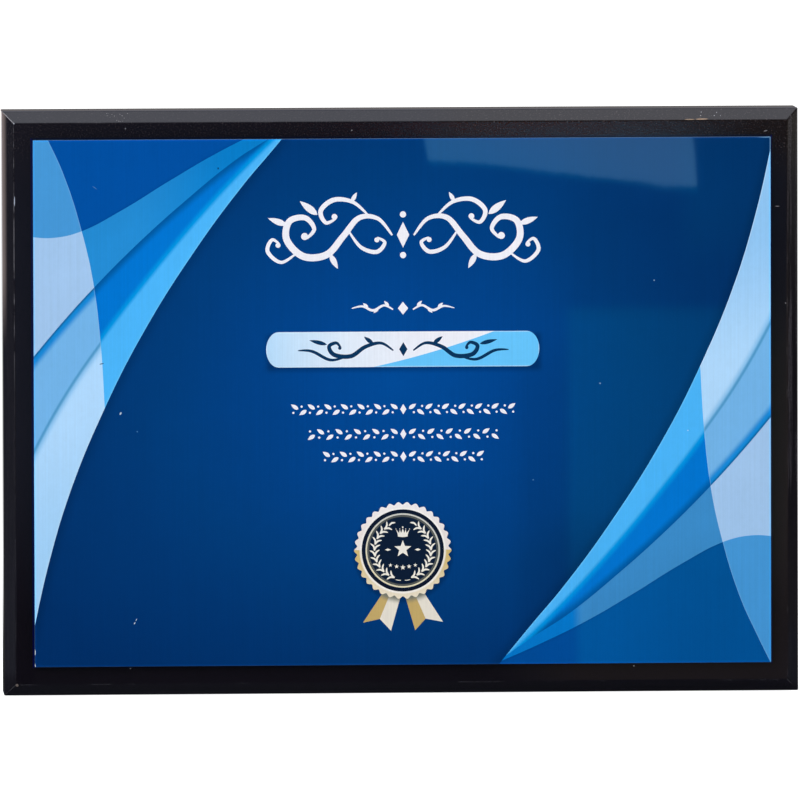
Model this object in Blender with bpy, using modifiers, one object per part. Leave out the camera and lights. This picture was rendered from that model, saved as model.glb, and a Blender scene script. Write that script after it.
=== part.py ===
"""Wall plaque: a printed metal plate taped to a chamfered board.

Two steel keyhole hangers are let into the back, one for each way of hanging, and four rubber
bumpers keep the back off the wall.

The frame has +X to the right, +Y into the wall and +Z up. The wall is the plane y = 0, and the
origin is where the shank of the wall screw sits when the plaque hangs by its upper hanger.
Lengths are in metres.
"""

import math

import bmesh
import bpy
from mathutils import Matrix, Vector

# Fits and fineness
CLEARANCE = 0.0003
QUARTER_STEPS = 5
ARC_STEPS = 2 * QUARTER_STEPS
ROUND_STEPS = 32

# Board
BOARD_WIDTH = 0.1920
BOARD_HEIGHT = 0.1410
BOARD_THICKNESS = 0.0150
FRONT_CHAMFER = 0.0028
OUTER_ROUND = 0.0003
RIDGE_ROUND = 0.00025
HANG_DROP = 0.0240

# Printed plate, stuck on by hand a little off the middle
PLATE_WIDTH = 0.1778
PLATE_HEIGHT = 0.1270
PLATE_THICKNESS = 0.0011
PLATE_CORNER_RADIUS = 0.0002
PLATE_SHIFT_X = 0.0002
PLATE_SHIFT_Z = 0.0002

# Double-sided tape under the plate
TAPE_WIDTH = 0.0120
TAPE_THICKNESS = 0.0004
TAPE_INSET = 0.0040
TAPE_END_GAP = 0.0020
CENTRE_TAPE_LENGTH = 0.1100

# Keyhole hanger
HANGER_LENGTH = 0.0450
HANGER_WIDTH = 0.0160
HANGER_THICKNESS = 0.0015
HANGER_CORNER_RADIUS = 0.0030
KEYHOLE_ENTRY_RADIUS = 0.0045
KEYHOLE_SLOT_RADIUS = 0.0025
KEYHOLE_TRAVEL = 0.0100
KEYHOLE_SEAT_OFFSET = 0.0055
SCREW_HOLE_OFFSET = 0.0175

# Pocket in the board behind the keyhole, for the head of the wall screw
HEAD_POCKET_RADIUS = 0.0057
HEAD_POCKET_DEPTH = 0.0060

# Wood screw with a countersunk cross head
SCREW_LENGTH = 0.0100
SCREW_SHANK_RADIUS = 0.0015
SCREW_HEAD_RADIUS = 0.0030
SCREW_HEAD_RIM = 0.0002
SCREW_TIP_LENGTH = 0.0025
SCREW_TIP_RADIUS = 0.0003
CROSS_LENGTH = 0.0032
CROSS_WIDTH = 0.0007
CROSS_DEPTH = 0.0010
CROSS_TURN = math.radians(26.0)

# Rubber bumper
BUMPER_RADIUS = 0.0050
BUMPER_THICKNESS = 0.0020
BUMPER_ROUND = 0.0010
BUMPER_INSET = 0.0130

# Places that follow from the sizes
SEAT_PLANE = -BUMPER_THICKNESS - CLEARANCE
BOARD_FRONT = SEAT_PLANE - BOARD_THICKNESS
BOARD_TOP = HANG_DROP
BOARD_MIDDLE = BOARD_TOP - BOARD_HEIGHT / 2.0
TAPE_BACK = BOARD_FRONT - CLEARANCE
TAPE_MIDDLE = TAPE_BACK - TAPE_THICKNESS / 2.0
PLATE_BACK = TAPE_BACK - TAPE_THICKNESS - CLEARANCE
PLATE_MIDDLE = PLATE_BACK - PLATE_THICKNESS / 2.0
PLATE_CENTRE = Vector((PLATE_SHIFT_X, PLATE_MIDDLE, BOARD_MIDDLE + PLATE_SHIFT_Z))
HANGER_MIDDLE = SEAT_PLANE - HANGER_THICKNESS / 2.0
RECESS_FLOOR = SEAT_PLANE - HANGER_THICKNESS - CLEARANCE

# Looks of the plain model
COLOURS = {
    "board": (0.012, 0.012, 0.016, 0.35, 0.0),
    "plate": (0.004, 0.075, 0.300, 0.25, 0.3),
    "tape": (0.75, 0.74, 0.70, 0.80, 0.0),
    "steel": (0.60, 0.60, 0.58, 0.35, 1.0),
    "screw": (0.70, 0.68, 0.60, 0.30, 1.0),
    "rubber": (0.02, 0.02, 0.02, 0.85, 0.0),
}


def clear_scene():
    """Remove what the file holds already."""
    for old in list(bpy.data.objects):
        bpy.data.objects.remove(old, do_unlink=True)


def make_collection(name):
    """A new collection under the scene's own."""
    collection = bpy.data.collections.new(name)
    bpy.context.scene.collection.children.link(collection)
    return collection


def make_material(name):
    """A plain material with the colour, roughness and metallic value of one piece."""
    red, green, blue, roughness, metallic = COLOURS[name]
    material = bpy.data.materials.new(name)
    material.use_nodes = True
    shader = material.node_tree.nodes["Principled BSDF"]
    shader.inputs["Base Color"].default_value = (red, green, blue, 1.0)
    shader.inputs["Roughness"].default_value = roughness
    shader.inputs["Metallic"].default_value = metallic
    return material


def add_object(name, data, collection, location=(0.0, 0.0, 0.0)):
    """A new object with the given mesh or curve."""
    item = bpy.data.objects.new(name, data)
    item.location = location
    collection.objects.link(item)
    return item


def box_mesh(name, width, depth, height):
    """A closed box about its own middle."""
    box = bmesh.new()
    bmesh.ops.create_cube(box, size=1.0)
    bmesh.ops.scale(box, vec=Vector((width, depth, height)), verts=box.verts)
    mesh = bpy.data.meshes.new(name)
    box.to_mesh(mesh)
    box.free()
    return mesh


def arc(centre, radius, start, end, steps):
    """Points on an arc in the XZ plane, its angles in degrees from +X towards +Z."""
    points = []
    for step in range(steps + 1):
        angle = math.radians(start + (end - start) * step / steps)
        points.append((centre[0] + radius * math.cos(angle), centre[1] + radius * math.sin(angle)))
    return points


def rounded_rectangle(width, height, radius):
    """Outline of a rectangle with round corners."""
    across = width / 2.0 - radius
    up = height / 2.0 - radius
    outline = []
    for quarter, (side, rise) in enumerate(((1, 1), (-1, 1), (-1, -1), (1, -1))):
        start = 90.0 * quarter
        outline += arc((side * across, rise * up), radius, start, start + 90.0, QUARTER_STEPS)
    return outline


def circle(radius):
    """Outline of a circle about the origin."""
    return arc((0.0, 0.0), radius, 0.0, 360.0, ROUND_STEPS)[:-1]


def keyhole(seat, travel, entry_radius, slot_radius):
    """Outline of a round entry hole with a narrower slot above it, its end centred at seat."""
    half_neck = math.degrees(math.asin(slot_radius / entry_radius))
    entry = arc((0.0, seat - travel), entry_radius, 90.0 + half_neck, 450.0 - half_neck, 2 * ARC_STEPS)
    end = arc((0.0, seat), slot_radius, 0.0, 180.0, ARC_STEPS)
    return entry + end


def slot_outline(low, high, radius):
    """Outline of a straight slot with round ends, their centres at low and high."""
    upper = arc((0.0, high), radius, 0.0, 180.0, ARC_STEPS)
    lower = arc((0.0, low), radius, 180.0, 360.0, ARC_STEPS)
    return upper + lower


def flat_mesh(name, outlines, thickness):
    """A flat piece about y = 0: the first outline is its edge, and the others are holes in it."""
    curve = bpy.data.curves.new(name, "CURVE")
    curve.dimensions = "2D"
    curve.fill_mode = "BOTH"
    curve.extrude = thickness / 2.0
    for outline in outlines:
        spline = curve.splines.new("POLY")
        spline.points.add(len(outline) - 1)
        for point, (across, up) in zip(spline.points, outline):
            point.co = (across, up, 0.0, 1.0)
        spline.use_cyclic_u = True
    drawn = bpy.data.objects.new(name + "_outline", curve)
    bpy.context.scene.collection.objects.link(drawn)
    graph = bpy.context.evaluated_depsgraph_get()
    mesh = bpy.data.meshes.new_from_object(drawn.evaluated_get(graph))
    bpy.data.objects.remove(drawn, do_unlink=True)
    bpy.data.curves.remove(curve)
    work = bmesh.new()
    work.from_mesh(mesh)
    bmesh.ops.remove_doubles(work, verts=work.verts, dist=0.000001)
    bmesh.ops.rotate(work, verts=work.verts, matrix=Matrix.Rotation(math.pi / 2.0, 3, "X"))
    bmesh.ops.recalc_face_normals(work, faces=work.faces)
    work.to_mesh(mesh)
    work.free()
    mesh.name = name
    return mesh


def turned(name, profile, collection):
    """A turned piece about Y: profile holds (radius, height) from its top down its outer side."""
    mesh = bpy.data.meshes.new(name)
    vertices = [(radius, 0.0, height) for radius, height in profile]
    edges = [(index, index + 1) for index in range(len(profile) - 1)]
    mesh.from_pydata(vertices, edges, [])
    item = add_object(name, mesh, collection)
    screw = item.modifiers.new("turn", "SCREW")
    screw.axis = "Z"
    screw.steps = ROUND_STEPS
    screw.render_steps = ROUND_STEPS
    screw.use_merge_vertices = True
    screw.merge_threshold = 0.00001
    screw.use_smooth_shade = True
    item.rotation_euler = (-math.pi / 2.0, 0.0, 0.0)
    return item


def round_edges(item, width, segments):
    """A Bevel modifier that follows the weights stored on the edges."""
    bevel = item.modifiers.new("round_edges", "BEVEL")
    bevel.limit_method = "WEIGHT"
    bevel.width = width
    bevel.segments = segments
    bevel.use_clamp_overlap = True


def cut(item, cutter):
    """Take the cutter's shape out of the item."""
    boolean = item.modifiers.new("cut_" + cutter.name, "BOOLEAN")
    boolean.operation = "DIFFERENCE"
    boolean.solver = "EXACT"
    boolean.object = cutter


def make_cutter(name, mesh, collection, location, turn=0.0):
    """A cutter object, turned about the wall's normal by an angle in radians."""
    cutter = add_object(name, mesh, collection, location)
    cutter.rotation_euler = (0.0, turn, 0.0)
    cutter.hide_render = True
    cutter.display_type = "WIRE"
    return cutter


def board_mesh():
    """The board with its front chamfer, and with weights on the edges that are rounded."""
    mesh = box_mesh("plaque_board", BOARD_WIDTH, BOARD_THICKNESS, BOARD_HEIGHT)
    work = bmesh.new()
    work.from_mesh(mesh)
    front = -BOARD_THICKNESS / 2.0

    def on_front(edge):
        return all(abs(vert.co.y - front) < CLEARANCE for vert in edge.verts)

    bmesh.ops.bevel(
        work,
        geom=[edge for edge in work.edges if on_front(edge)],
        offset=FRONT_CHAMFER,
        segments=1,
        profile=0.5,
        affect="EDGES",
        clamp_overlap=True,
    )
    weights = work.edges.layers.float.new("bevel_weight_edge")
    for edge in work.edges:
        edge[weights] = RIDGE_ROUND / OUTER_ROUND if on_front(edge) else 1.0
    work.to_mesh(mesh)
    work.free()
    return mesh


def hanger_places():
    """Centre and turn of each hanger: the upper one, and the one for hanging upright."""
    top = Vector((0.0, HANGER_MIDDLE, -KEYHOLE_SEAT_OFFSET))
    side_x = BOARD_WIDTH / 2.0 - HANG_DROP - KEYHOLE_SEAT_OFFSET
    side = Vector((side_x, HANGER_MIDDLE, BOARD_MIDDLE))
    return {"top": (top, 0.0), "side": (side, math.pi / 2.0)}


def along(place, turn, offset, depth):
    """A point on a hanger's length at offset from its middle, at the given depth."""
    return Vector((place.x + offset * math.sin(turn), depth, place.z + offset * math.cos(turn)))


def make_board(parts, cutters, material):
    """The board, cut for the hangers, the wall screw's head and the hanger screws."""
    middle = (0.0, SEAT_PLANE - BOARD_THICKNESS / 2.0, BOARD_MIDDLE)
    board = add_object("plaque_board", board_mesh(), parts, middle)
    board.data.materials.append(material)
    round_edges(board, OUTER_ROUND, 3)
    proud = CLEARANCE
    recess_depth = HANGER_THICKNESS + CLEARANCE + proud
    recess_width = HANGER_WIDTH + 2.0 * CLEARANCE
    recess_length = HANGER_LENGTH + 2.0 * CLEARANCE
    recess_corner = HANGER_CORNER_RADIUS + CLEARANCE
    recess_outline = rounded_rectangle(recess_width, recess_length, recess_corner)
    recess = flat_mesh("recess", [recess_outline], recess_depth)
    pocket_outline = slot_outline(
        KEYHOLE_SEAT_OFFSET - KEYHOLE_TRAVEL, KEYHOLE_SEAT_OFFSET, HEAD_POCKET_RADIUS
    )
    pocket_depth = HEAD_POCKET_DEPTH + proud
    pocket = flat_mesh("pocket", [pocket_outline], pocket_depth)
    pilot_bottom = SEAT_PLANE - SCREW_LENGTH - CLEARANCE
    pilot_depth = RECESS_FLOOR + proud - pilot_bottom
    pilot = flat_mesh("pilot", [circle(SCREW_SHANK_RADIUS + CLEARANCE)], pilot_depth)
    for name, (place, turn) in hanger_places().items():
        recess_place = along(place, turn, 0.0, SEAT_PLANE + proud - recess_depth / 2.0)
        cut(board, make_cutter("recess_" + name, recess.copy(), cutters, recess_place, turn))
        pocket_place = along(place, turn, 0.0, RECESS_FLOOR + proud - pocket_depth / 2.0)
        cut(board, make_cutter("pocket_" + name, pocket.copy(), cutters, pocket_place, turn))
        for label, offset in (("inner", -SCREW_HOLE_OFFSET), ("outer", SCREW_HOLE_OFFSET)):
            pilot_name = "pilot_" + name + "_" + label
            pilot_place = along(place, turn, offset, pilot_bottom + pilot_depth / 2.0)
            cut(board, make_cutter(pilot_name, pilot.copy(), cutters, pilot_place, turn))
    return board


def make_plate(parts, material):
    """The printed metal plate."""
    outline = rounded_rectangle(PLATE_WIDTH, PLATE_HEIGHT, PLATE_CORNER_RADIUS)
    mesh = flat_mesh("print_plate", [outline], PLATE_THICKNESS)
    plate = add_object("print_plate", mesh, parts, PLATE_CENTRE)
    plate.data.materials.append(material)
    return plate


def make_tapes(parts, material):
    """Tape strips round the plate's back, and one across its middle."""
    long_run = PLATE_WIDTH - 2.0 * TAPE_INSET
    edge_up = PLATE_HEIGHT / 2.0 - TAPE_INSET - TAPE_WIDTH / 2.0
    edge_across = PLATE_WIDTH / 2.0 - TAPE_INSET - TAPE_WIDTH / 2.0
    short_run = PLATE_HEIGHT - 2.0 * (TAPE_INSET + TAPE_WIDTH + TAPE_END_GAP)
    strips = {
        "tape_top": (long_run, TAPE_WIDTH, 0.0, edge_up),
        "tape_bottom": (long_run, TAPE_WIDTH, 0.0, -edge_up),
        "tape_left": (TAPE_WIDTH, short_run, -edge_across, 0.0),
        "tape_right": (TAPE_WIDTH, short_run, edge_across, 0.0),
        "tape_centre": (CENTRE_TAPE_LENGTH, TAPE_WIDTH, 0.0, 0.0),
    }
    tapes = []
    for name, (width, height, across, up) in strips.items():
        place = (PLATE_CENTRE.x + across, TAPE_MIDDLE, PLATE_CENTRE.z + up)
        tape = add_object(name, box_mesh(name, width, TAPE_THICKNESS, height), parts, place)
        tape.data.materials.append(material)
        tapes.append(tape)
    return tapes


def countersink(name, place, cutters):
    """A turned cutter that clears a screw, its wide end at the hanger's back face."""
    wide = SCREW_HEAD_RADIUS + CLEARANCE * math.sqrt(2.0)
    narrow = SCREW_SHANK_RADIUS + CLEARANCE
    profile = [
        (0.0, CLEARANCE),
        (wide, CLEARANCE),
        (wide, -SCREW_HEAD_RIM),
        (narrow, -SCREW_HEAD_RIM - wide + narrow),
        (narrow, -SCREW_LENGTH),
        (0.0, -SCREW_LENGTH),
    ]
    cutter = turned(name, profile, cutters)
    cutter.location = place
    cutter.hide_render = True
    cutter.display_type = "WIRE"
    return cutter


def make_hanger(name, place, turn, parts, cutters, material):
    """A flat keyhole hanger with two countersunk holes."""
    plate = rounded_rectangle(HANGER_WIDTH, HANGER_LENGTH, HANGER_CORNER_RADIUS)
    slot = keyhole(KEYHOLE_SEAT_OFFSET, KEYHOLE_TRAVEL, KEYHOLE_ENTRY_RADIUS, KEYHOLE_SLOT_RADIUS)
    mesh = flat_mesh("hanger_" + name, [plate, slot], HANGER_THICKNESS)
    hanger = add_object("hanger_" + name, mesh, parts, place)
    hanger.rotation_euler = (0.0, turn, 0.0)
    hanger.data.materials.append(material)
    for label, offset in (("inner", -SCREW_HOLE_OFFSET), ("outer", SCREW_HOLE_OFFSET)):
        head = along(place, turn, offset, SEAT_PLANE)
        cut(hanger, countersink("countersink_" + name + "_" + label, head, cutters))
    return hanger


def cross_outline(length, width):
    """Outline of an upright cross."""
    long = length / 2.0
    short = width / 2.0
    corner = [(long, short), (short, short), (short, long)]
    outline = []
    for quarter in range(4):
        cosine = round(math.cos(quarter * math.pi / 2.0))
        sine = round(math.sin(quarter * math.pi / 2.0))
        outline += [(across * cosine - up * sine, across * sine + up * cosine) for across, up in corner]
    return outline


def make_screw(name, place, parts, cutters, material):
    """A countersunk wood screw, its head's top at place and its shank towards the front."""
    cone = SCREW_HEAD_RADIUS - SCREW_SHANK_RADIUS
    profile = [
        (0.0, 0.0),
        (SCREW_HEAD_RADIUS, 0.0),
        (SCREW_HEAD_RADIUS, -SCREW_HEAD_RIM),
        (SCREW_SHANK_RADIUS, -SCREW_HEAD_RIM - cone),
        (SCREW_SHANK_RADIUS, -SCREW_LENGTH + SCREW_TIP_LENGTH),
        (SCREW_TIP_RADIUS, -SCREW_LENGTH),
        (0.0, -SCREW_LENGTH),
    ]
    screw = turned(name, profile, parts)
    screw.location = place
    screw.data.materials.append(material)
    cross = flat_mesh(name + "_cross", [cross_outline(CROSS_LENGTH, CROSS_WIDTH)], 2.0 * CROSS_DEPTH)
    cut(screw, make_cutter(name + "_recess", cross, cutters, place, CROSS_TURN))
    return screw


def make_bumper(name, across, up, parts, material):
    """A round rubber bumper, its flat end on the wall's plane."""
    profile = [(0.0, 0.0)]
    centre = BUMPER_RADIUS - BUMPER_ROUND
    profile += arc((centre, -BUMPER_ROUND), BUMPER_ROUND, 90.0, 0.0, QUARTER_STEPS)
    profile += [(BUMPER_RADIUS, -BUMPER_THICKNESS), (0.0, -BUMPER_THICKNESS)]
    bumper = turned(name, profile, parts)
    bumper.location = (across, 0.0, up)
    bumper.data.materials.append(material)
    return bumper


def make_bumpers(parts, material):
    """One bumper near each corner of the back; left and right as seen from the front."""
    across = BOARD_WIDTH / 2.0 - BUMPER_INSET
    up = BOARD_HEIGHT / 2.0 - BUMPER_INSET
    corners = {
        "top_left": (-1, 1),
        "top_right": (1, 1),
        "bottom_left": (-1, -1),
        "bottom_right": (1, -1),
    }
    return [
        make_bumper("bumper_" + name, side * across, BOARD_MIDDLE + rise * up, parts, material)
        for name, (side, rise) in corners.items()
    ]


def main():
    """Build the plaque."""
    clear_scene()
    parts = make_collection("sublimation_plaque")
    cutters = make_collection("cutters")
    materials = {name: make_material(name) for name in COLOURS}
    pieces = [make_board(parts, cutters, materials["board"]), make_plate(parts, materials["plate"])]
    pieces += make_tapes(parts, materials["tape"])
    screw_names = {"top": ("lower", "upper"), "side": ("inner", "outer")}
    for name, (place, turn) in hanger_places().items():
        pieces.append(make_hanger(name, place, turn, parts, cutters, materials["steel"]))
        for label, offset in zip(screw_names[name], (-SCREW_HOLE_OFFSET, SCREW_HOLE_OFFSET)):
            screw_name = "screw_" + name + "_" + label
            head = along(place, turn, offset, SEAT_PLANE)
            pieces.append(make_screw(screw_name, head, parts, cutters, materials["screw"]))
    pieces += make_bumpers(parts, materials["rubber"])
    origin = bpy.data.objects.new("wall_screw_seat", None)
    parts.objects.link(origin)
    for piece in pieces:
        piece.parent = origin


main()
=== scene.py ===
"""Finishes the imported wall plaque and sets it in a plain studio.

Lengths are in metres, apart from the print, which is drawn in millimetres from
the middle of the plate: u to the right and v up.
"""

import math
from functools import partialmethod

import bmesh
import bpy
from bpy.props import FloatProperty, FloatVectorProperty, IntProperty, PointerProperty
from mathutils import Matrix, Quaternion, Vector
from mathutils.geometry import delaunay_2d_cdt

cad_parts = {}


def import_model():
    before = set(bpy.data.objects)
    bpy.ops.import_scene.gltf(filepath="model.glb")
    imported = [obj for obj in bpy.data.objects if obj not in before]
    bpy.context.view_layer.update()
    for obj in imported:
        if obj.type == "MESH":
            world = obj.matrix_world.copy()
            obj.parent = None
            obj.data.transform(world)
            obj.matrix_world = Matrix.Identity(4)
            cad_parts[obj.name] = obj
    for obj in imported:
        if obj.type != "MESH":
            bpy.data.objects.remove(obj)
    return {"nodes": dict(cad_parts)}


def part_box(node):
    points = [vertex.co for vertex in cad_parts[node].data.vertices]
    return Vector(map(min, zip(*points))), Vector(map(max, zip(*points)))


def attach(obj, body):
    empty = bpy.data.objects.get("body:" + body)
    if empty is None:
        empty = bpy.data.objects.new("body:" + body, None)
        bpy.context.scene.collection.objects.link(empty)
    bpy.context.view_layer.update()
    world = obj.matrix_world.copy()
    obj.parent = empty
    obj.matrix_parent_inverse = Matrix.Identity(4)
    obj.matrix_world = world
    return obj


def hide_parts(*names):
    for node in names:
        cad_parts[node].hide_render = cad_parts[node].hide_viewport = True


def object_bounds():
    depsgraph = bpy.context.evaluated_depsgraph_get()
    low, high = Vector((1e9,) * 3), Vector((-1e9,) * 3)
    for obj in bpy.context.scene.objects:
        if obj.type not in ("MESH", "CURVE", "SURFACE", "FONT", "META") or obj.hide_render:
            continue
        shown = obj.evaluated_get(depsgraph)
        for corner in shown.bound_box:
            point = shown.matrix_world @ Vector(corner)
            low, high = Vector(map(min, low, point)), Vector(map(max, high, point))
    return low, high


bl_info = {
    "name": "Printed wall plaque",
    "version": (1, 0, 0),
    "blender": (4, 5, 0),
    "location": "3D View > Sidebar > Plaque",
    "description": "Finishes a black board with a printed metal plate",
    "category": "Object",
}

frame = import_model()
CAD_LOW, CAD_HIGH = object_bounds()

MM = 0.001
BODY = "root"
BOARD_LOW, BOARD_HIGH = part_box("plaque_board")
BOARD_MIDDLE = (BOARD_LOW + BOARD_HIGH) / 2
BOARD_HALF = (BOARD_HIGH - BOARD_LOW) / 2
PLATE_LOW, PLATE_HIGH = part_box("print_plate")
PLATE_MIDDLE = (PLATE_LOW + PLATE_HIGH) / 2
PLATE_SIZE = PLATE_HIGH - PLATE_LOW
TAPES = ("tape_top", "tape_bottom", "tape_left", "tape_right", "tape_centre")
HANGERS = ("hanger_top", "hanger_side")
SCREWS = ("screw_top_upper", "screw_top_lower", "screw_side_inner", "screw_side_outer")
BUMPERS = ("bumper_top_left", "bumper_top_right", "bumper_bottom_left", "bumper_bottom_right")

# The turn from +Z to the wall, and the angle past which a smooth mesh shows a crease
WALLWARD = (-math.pi / 2, 0.0, 0.0)
CREASE = math.radians(32.0)


# Colours and lengths that a user may change


def srgb(red, green, blue):
    """A screen colour, 0 to 255 a part, as linear red, green and blue."""

    def linear(part):
        part /= 255.0
        if part <= 0.04045:
            return part / 12.92
        return ((part + 0.055) / 1.055) ** 2.4

    return linear(red), linear(green), linear(blue)


def colour(name, description, *parts):
    return FloatVectorProperty(
        name=name,
        description=description,
        default=srgb(*parts),
        subtype="COLOR",
        size=3,
        min=0.0,
        max=1.0,
    )


def number(name, description, default, **kind):
    return FloatProperty(name=name, description=description, default=default, **kind)


def length(name, description, default):
    return number(name, description, default, unit="LENGTH", precision=5)


def angle(name, description, degrees):
    return number(name, description, math.radians(degrees), subtype="ANGLE")


class PlaqueSizes(bpy.types.PropertyGroup):
    """Lengths of the finished pieces."""

    chamfer: length("Chamfer", "Width of the board's front chamfer", 0.00280)
    edge_width: length("Plate edge", "Width of the plate's bare cut edge", 0.00008)
    edge_drop: length("Plate edge drop", "Depth of the plate's bare cut edge", 0.00010)
    corner: length("Plate corner", "Radius of the plate's corners", 0.00020)
    tape_relief: length("Tape relief", "How far each tape stays off its faces", 0.00002)
    tape_wave: length("Tape wave", "How far the cut ends of a tape wander", 0.00035)
    screw_head: length("Screw head", "Height of the whole screw head", 0.00150)
    screw_rim: length("Screw rim", "Height of the screw head's straight rim", 0.00020)
    screw_tip: length("Screw tip", "Length of the screw's point", 0.00250)
    cross_width: length("Cross width", "Width of one arm of the driver cross", 0.00075)
    cross_span: length("Cross span", "Length of the driver cross", 0.00330)
    cross_depth: length("Cross depth", "Depth of the driver cross", 0.00100)
    bumper_round: length("Bumper round", "Rounding of the bumper's rim", 0.00090)
    bumper_gap: length("Bumper gap", "How far a bumper stays off the board", 0.00002)


class PlaqueColours(bpy.types.PropertyGroup):
    """Colours of the finishes."""

    lacquer: colour("Lacquer", "Black of the board", 14, 11, 19)
    metal: colour("Metal", "Bare cut edge of the plate", 96, 132, 168)
    azure: colour("Azure", "Deepest bright band", 0, 117, 209)
    cyan: colour("Cyan", "Soft line between azure and sky", 0, 150, 226)
    sky: colour("Sky", "Band along the outer sweep", 76, 182, 250)
    band_left: colour("Left band", "Upper band on the left", 36, 139, 210)
    band_right: colour("Right band", "Lower band on the right", 60, 139, 200)
    corner_left: colour("Left corner", "Behind the left bands", 0, 78, 160)
    corner_right: colour("Right corner", "Behind the right bands", 0, 87, 159)
    veil_corner: colour("Corner veil", "Veil over the corner", 70, 151, 214)
    veil_band: colour("Band veil", "Veil over the band", 163, 199, 237)
    veil_azure: colour("Azure veil", "Veil over the azure band", 116, 181, 233)
    veil_sky: colour("Sky veil", "Veil over the sky band", 178, 219, 254)
    strip: colour("Strip", "Thin shaded strip under the veil's band", 22, 136, 214)
    white: colour("White", "White ink", 243, 242, 249)
    navy: colour("Navy", "Navy ink", 13, 27, 50)
    cream: colour("Cream", "Cream ink", 236, 227, 222)
    gold: colour("Gold", "Gold ink", 214, 187, 120)
    bar_dark: colour("Bar ornament", "Ornament in the pale bar", 10, 50, 88)
    tape: colour("Tape", "Foam tape", 226, 223, 214)
    nickel: colour("Nickel", "Plating of the hangers", 196, 192, 182)
    zinc: colour("Zinc", "Plating of the screws", 204, 202, 192)
    rubber: colour("Rubber", "Bumpers", 24, 24, 25)
    floor: colour("Floor", "Plain pale floor", 240, 240, 240)


class StudioSettings(bpy.types.PropertyGroup):
    """Camera and light."""

    distance: length("Distance", "Camera to plaque", 3.5)
    azimuth: angle("Azimuth", "Camera's turn to the right of square on", -3.0)
    elevation: angle("Elevation", "Camera's height above square on", 3.6)
    roll: angle("Roll", "Camera's roll", -0.153)
    lens: number("Lens", "Focal length", 652.4, unit="CAMERA")
    aim_x: length("Aim across", "Where the camera looks, across", 0.00001)
    aim_y: length("Aim depth", "Where the camera looks, towards the wall", -0.01000)
    aim_z: length("Aim up", "Where the camera looks, up", -0.04643)
    ambient: number("Ambient", "Even light on matt surfaces", 0.62)
    dim: number("Dim side", "What gloss mirrors on the camera's side", 0.09)
    front: number("Front lamp", "Power of the large front lamp in watts", 28.0)
    overhead: number("Overhead lamp", "Power of the overhead lamp in watts", 3.2)
    seed: IntProperty(name="Seed", description="Seed of the screws' turns", default=4)


# Node trees


class Value:
    """A number that varies over a surface, with Python's own operators."""

    def __init__(self, tree, socket):
        self.tree = tree
        self.socket = socket

    def maths(self, operation, *others):
        return self.tree.math(operation, self, *others)

    def reflected(self, operation, other):
        return self.tree.math(operation, other, self)

    __add__ = partialmethod(maths, "ADD")
    __radd__ = partialmethod(reflected, "ADD")
    __sub__ = partialmethod(maths, "SUBTRACT")
    __rsub__ = partialmethod(reflected, "SUBTRACT")
    __mul__ = partialmethod(maths, "MULTIPLY")
    __rmul__ = partialmethod(reflected, "MULTIPLY")
    __truediv__ = partialmethod(maths, "DIVIDE")
    __rtruediv__ = partialmethod(reflected, "DIVIDE")
    __pow__ = partialmethod(maths, "POWER")
    __rpow__ = partialmethod(reflected, "POWER")
    __gt__ = partialmethod(maths, "GREATER_THAN")
    __lt__ = partialmethod(maths, "LESS_THAN")
    __abs__ = partialmethod(maths, "ABSOLUTE")
    __neg__ = partialmethod(maths, "MULTIPLY", -1.0)
    least = partialmethod(maths, "MINIMUM")
    most = partialmethod(maths, "MAXIMUM")

    def ease(self, start, end, low=0.0, high=1.0):
        """Runs smoothly from low at start to high at end."""
        return self.tree.first(
            "ShaderNodeMapRange",
            {"interpolation_type": "SMOOTHSTEP"},
            Value=self,
            From_Min=start,
            From_Max=end,
            To_Min=low,
            To_Max=high,
        )

    def near(self, other, start, end):
        """1 where it is within start of another value, and 0 from end on."""
        return 1.0 - abs(self - other).ease(start, end)


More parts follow.
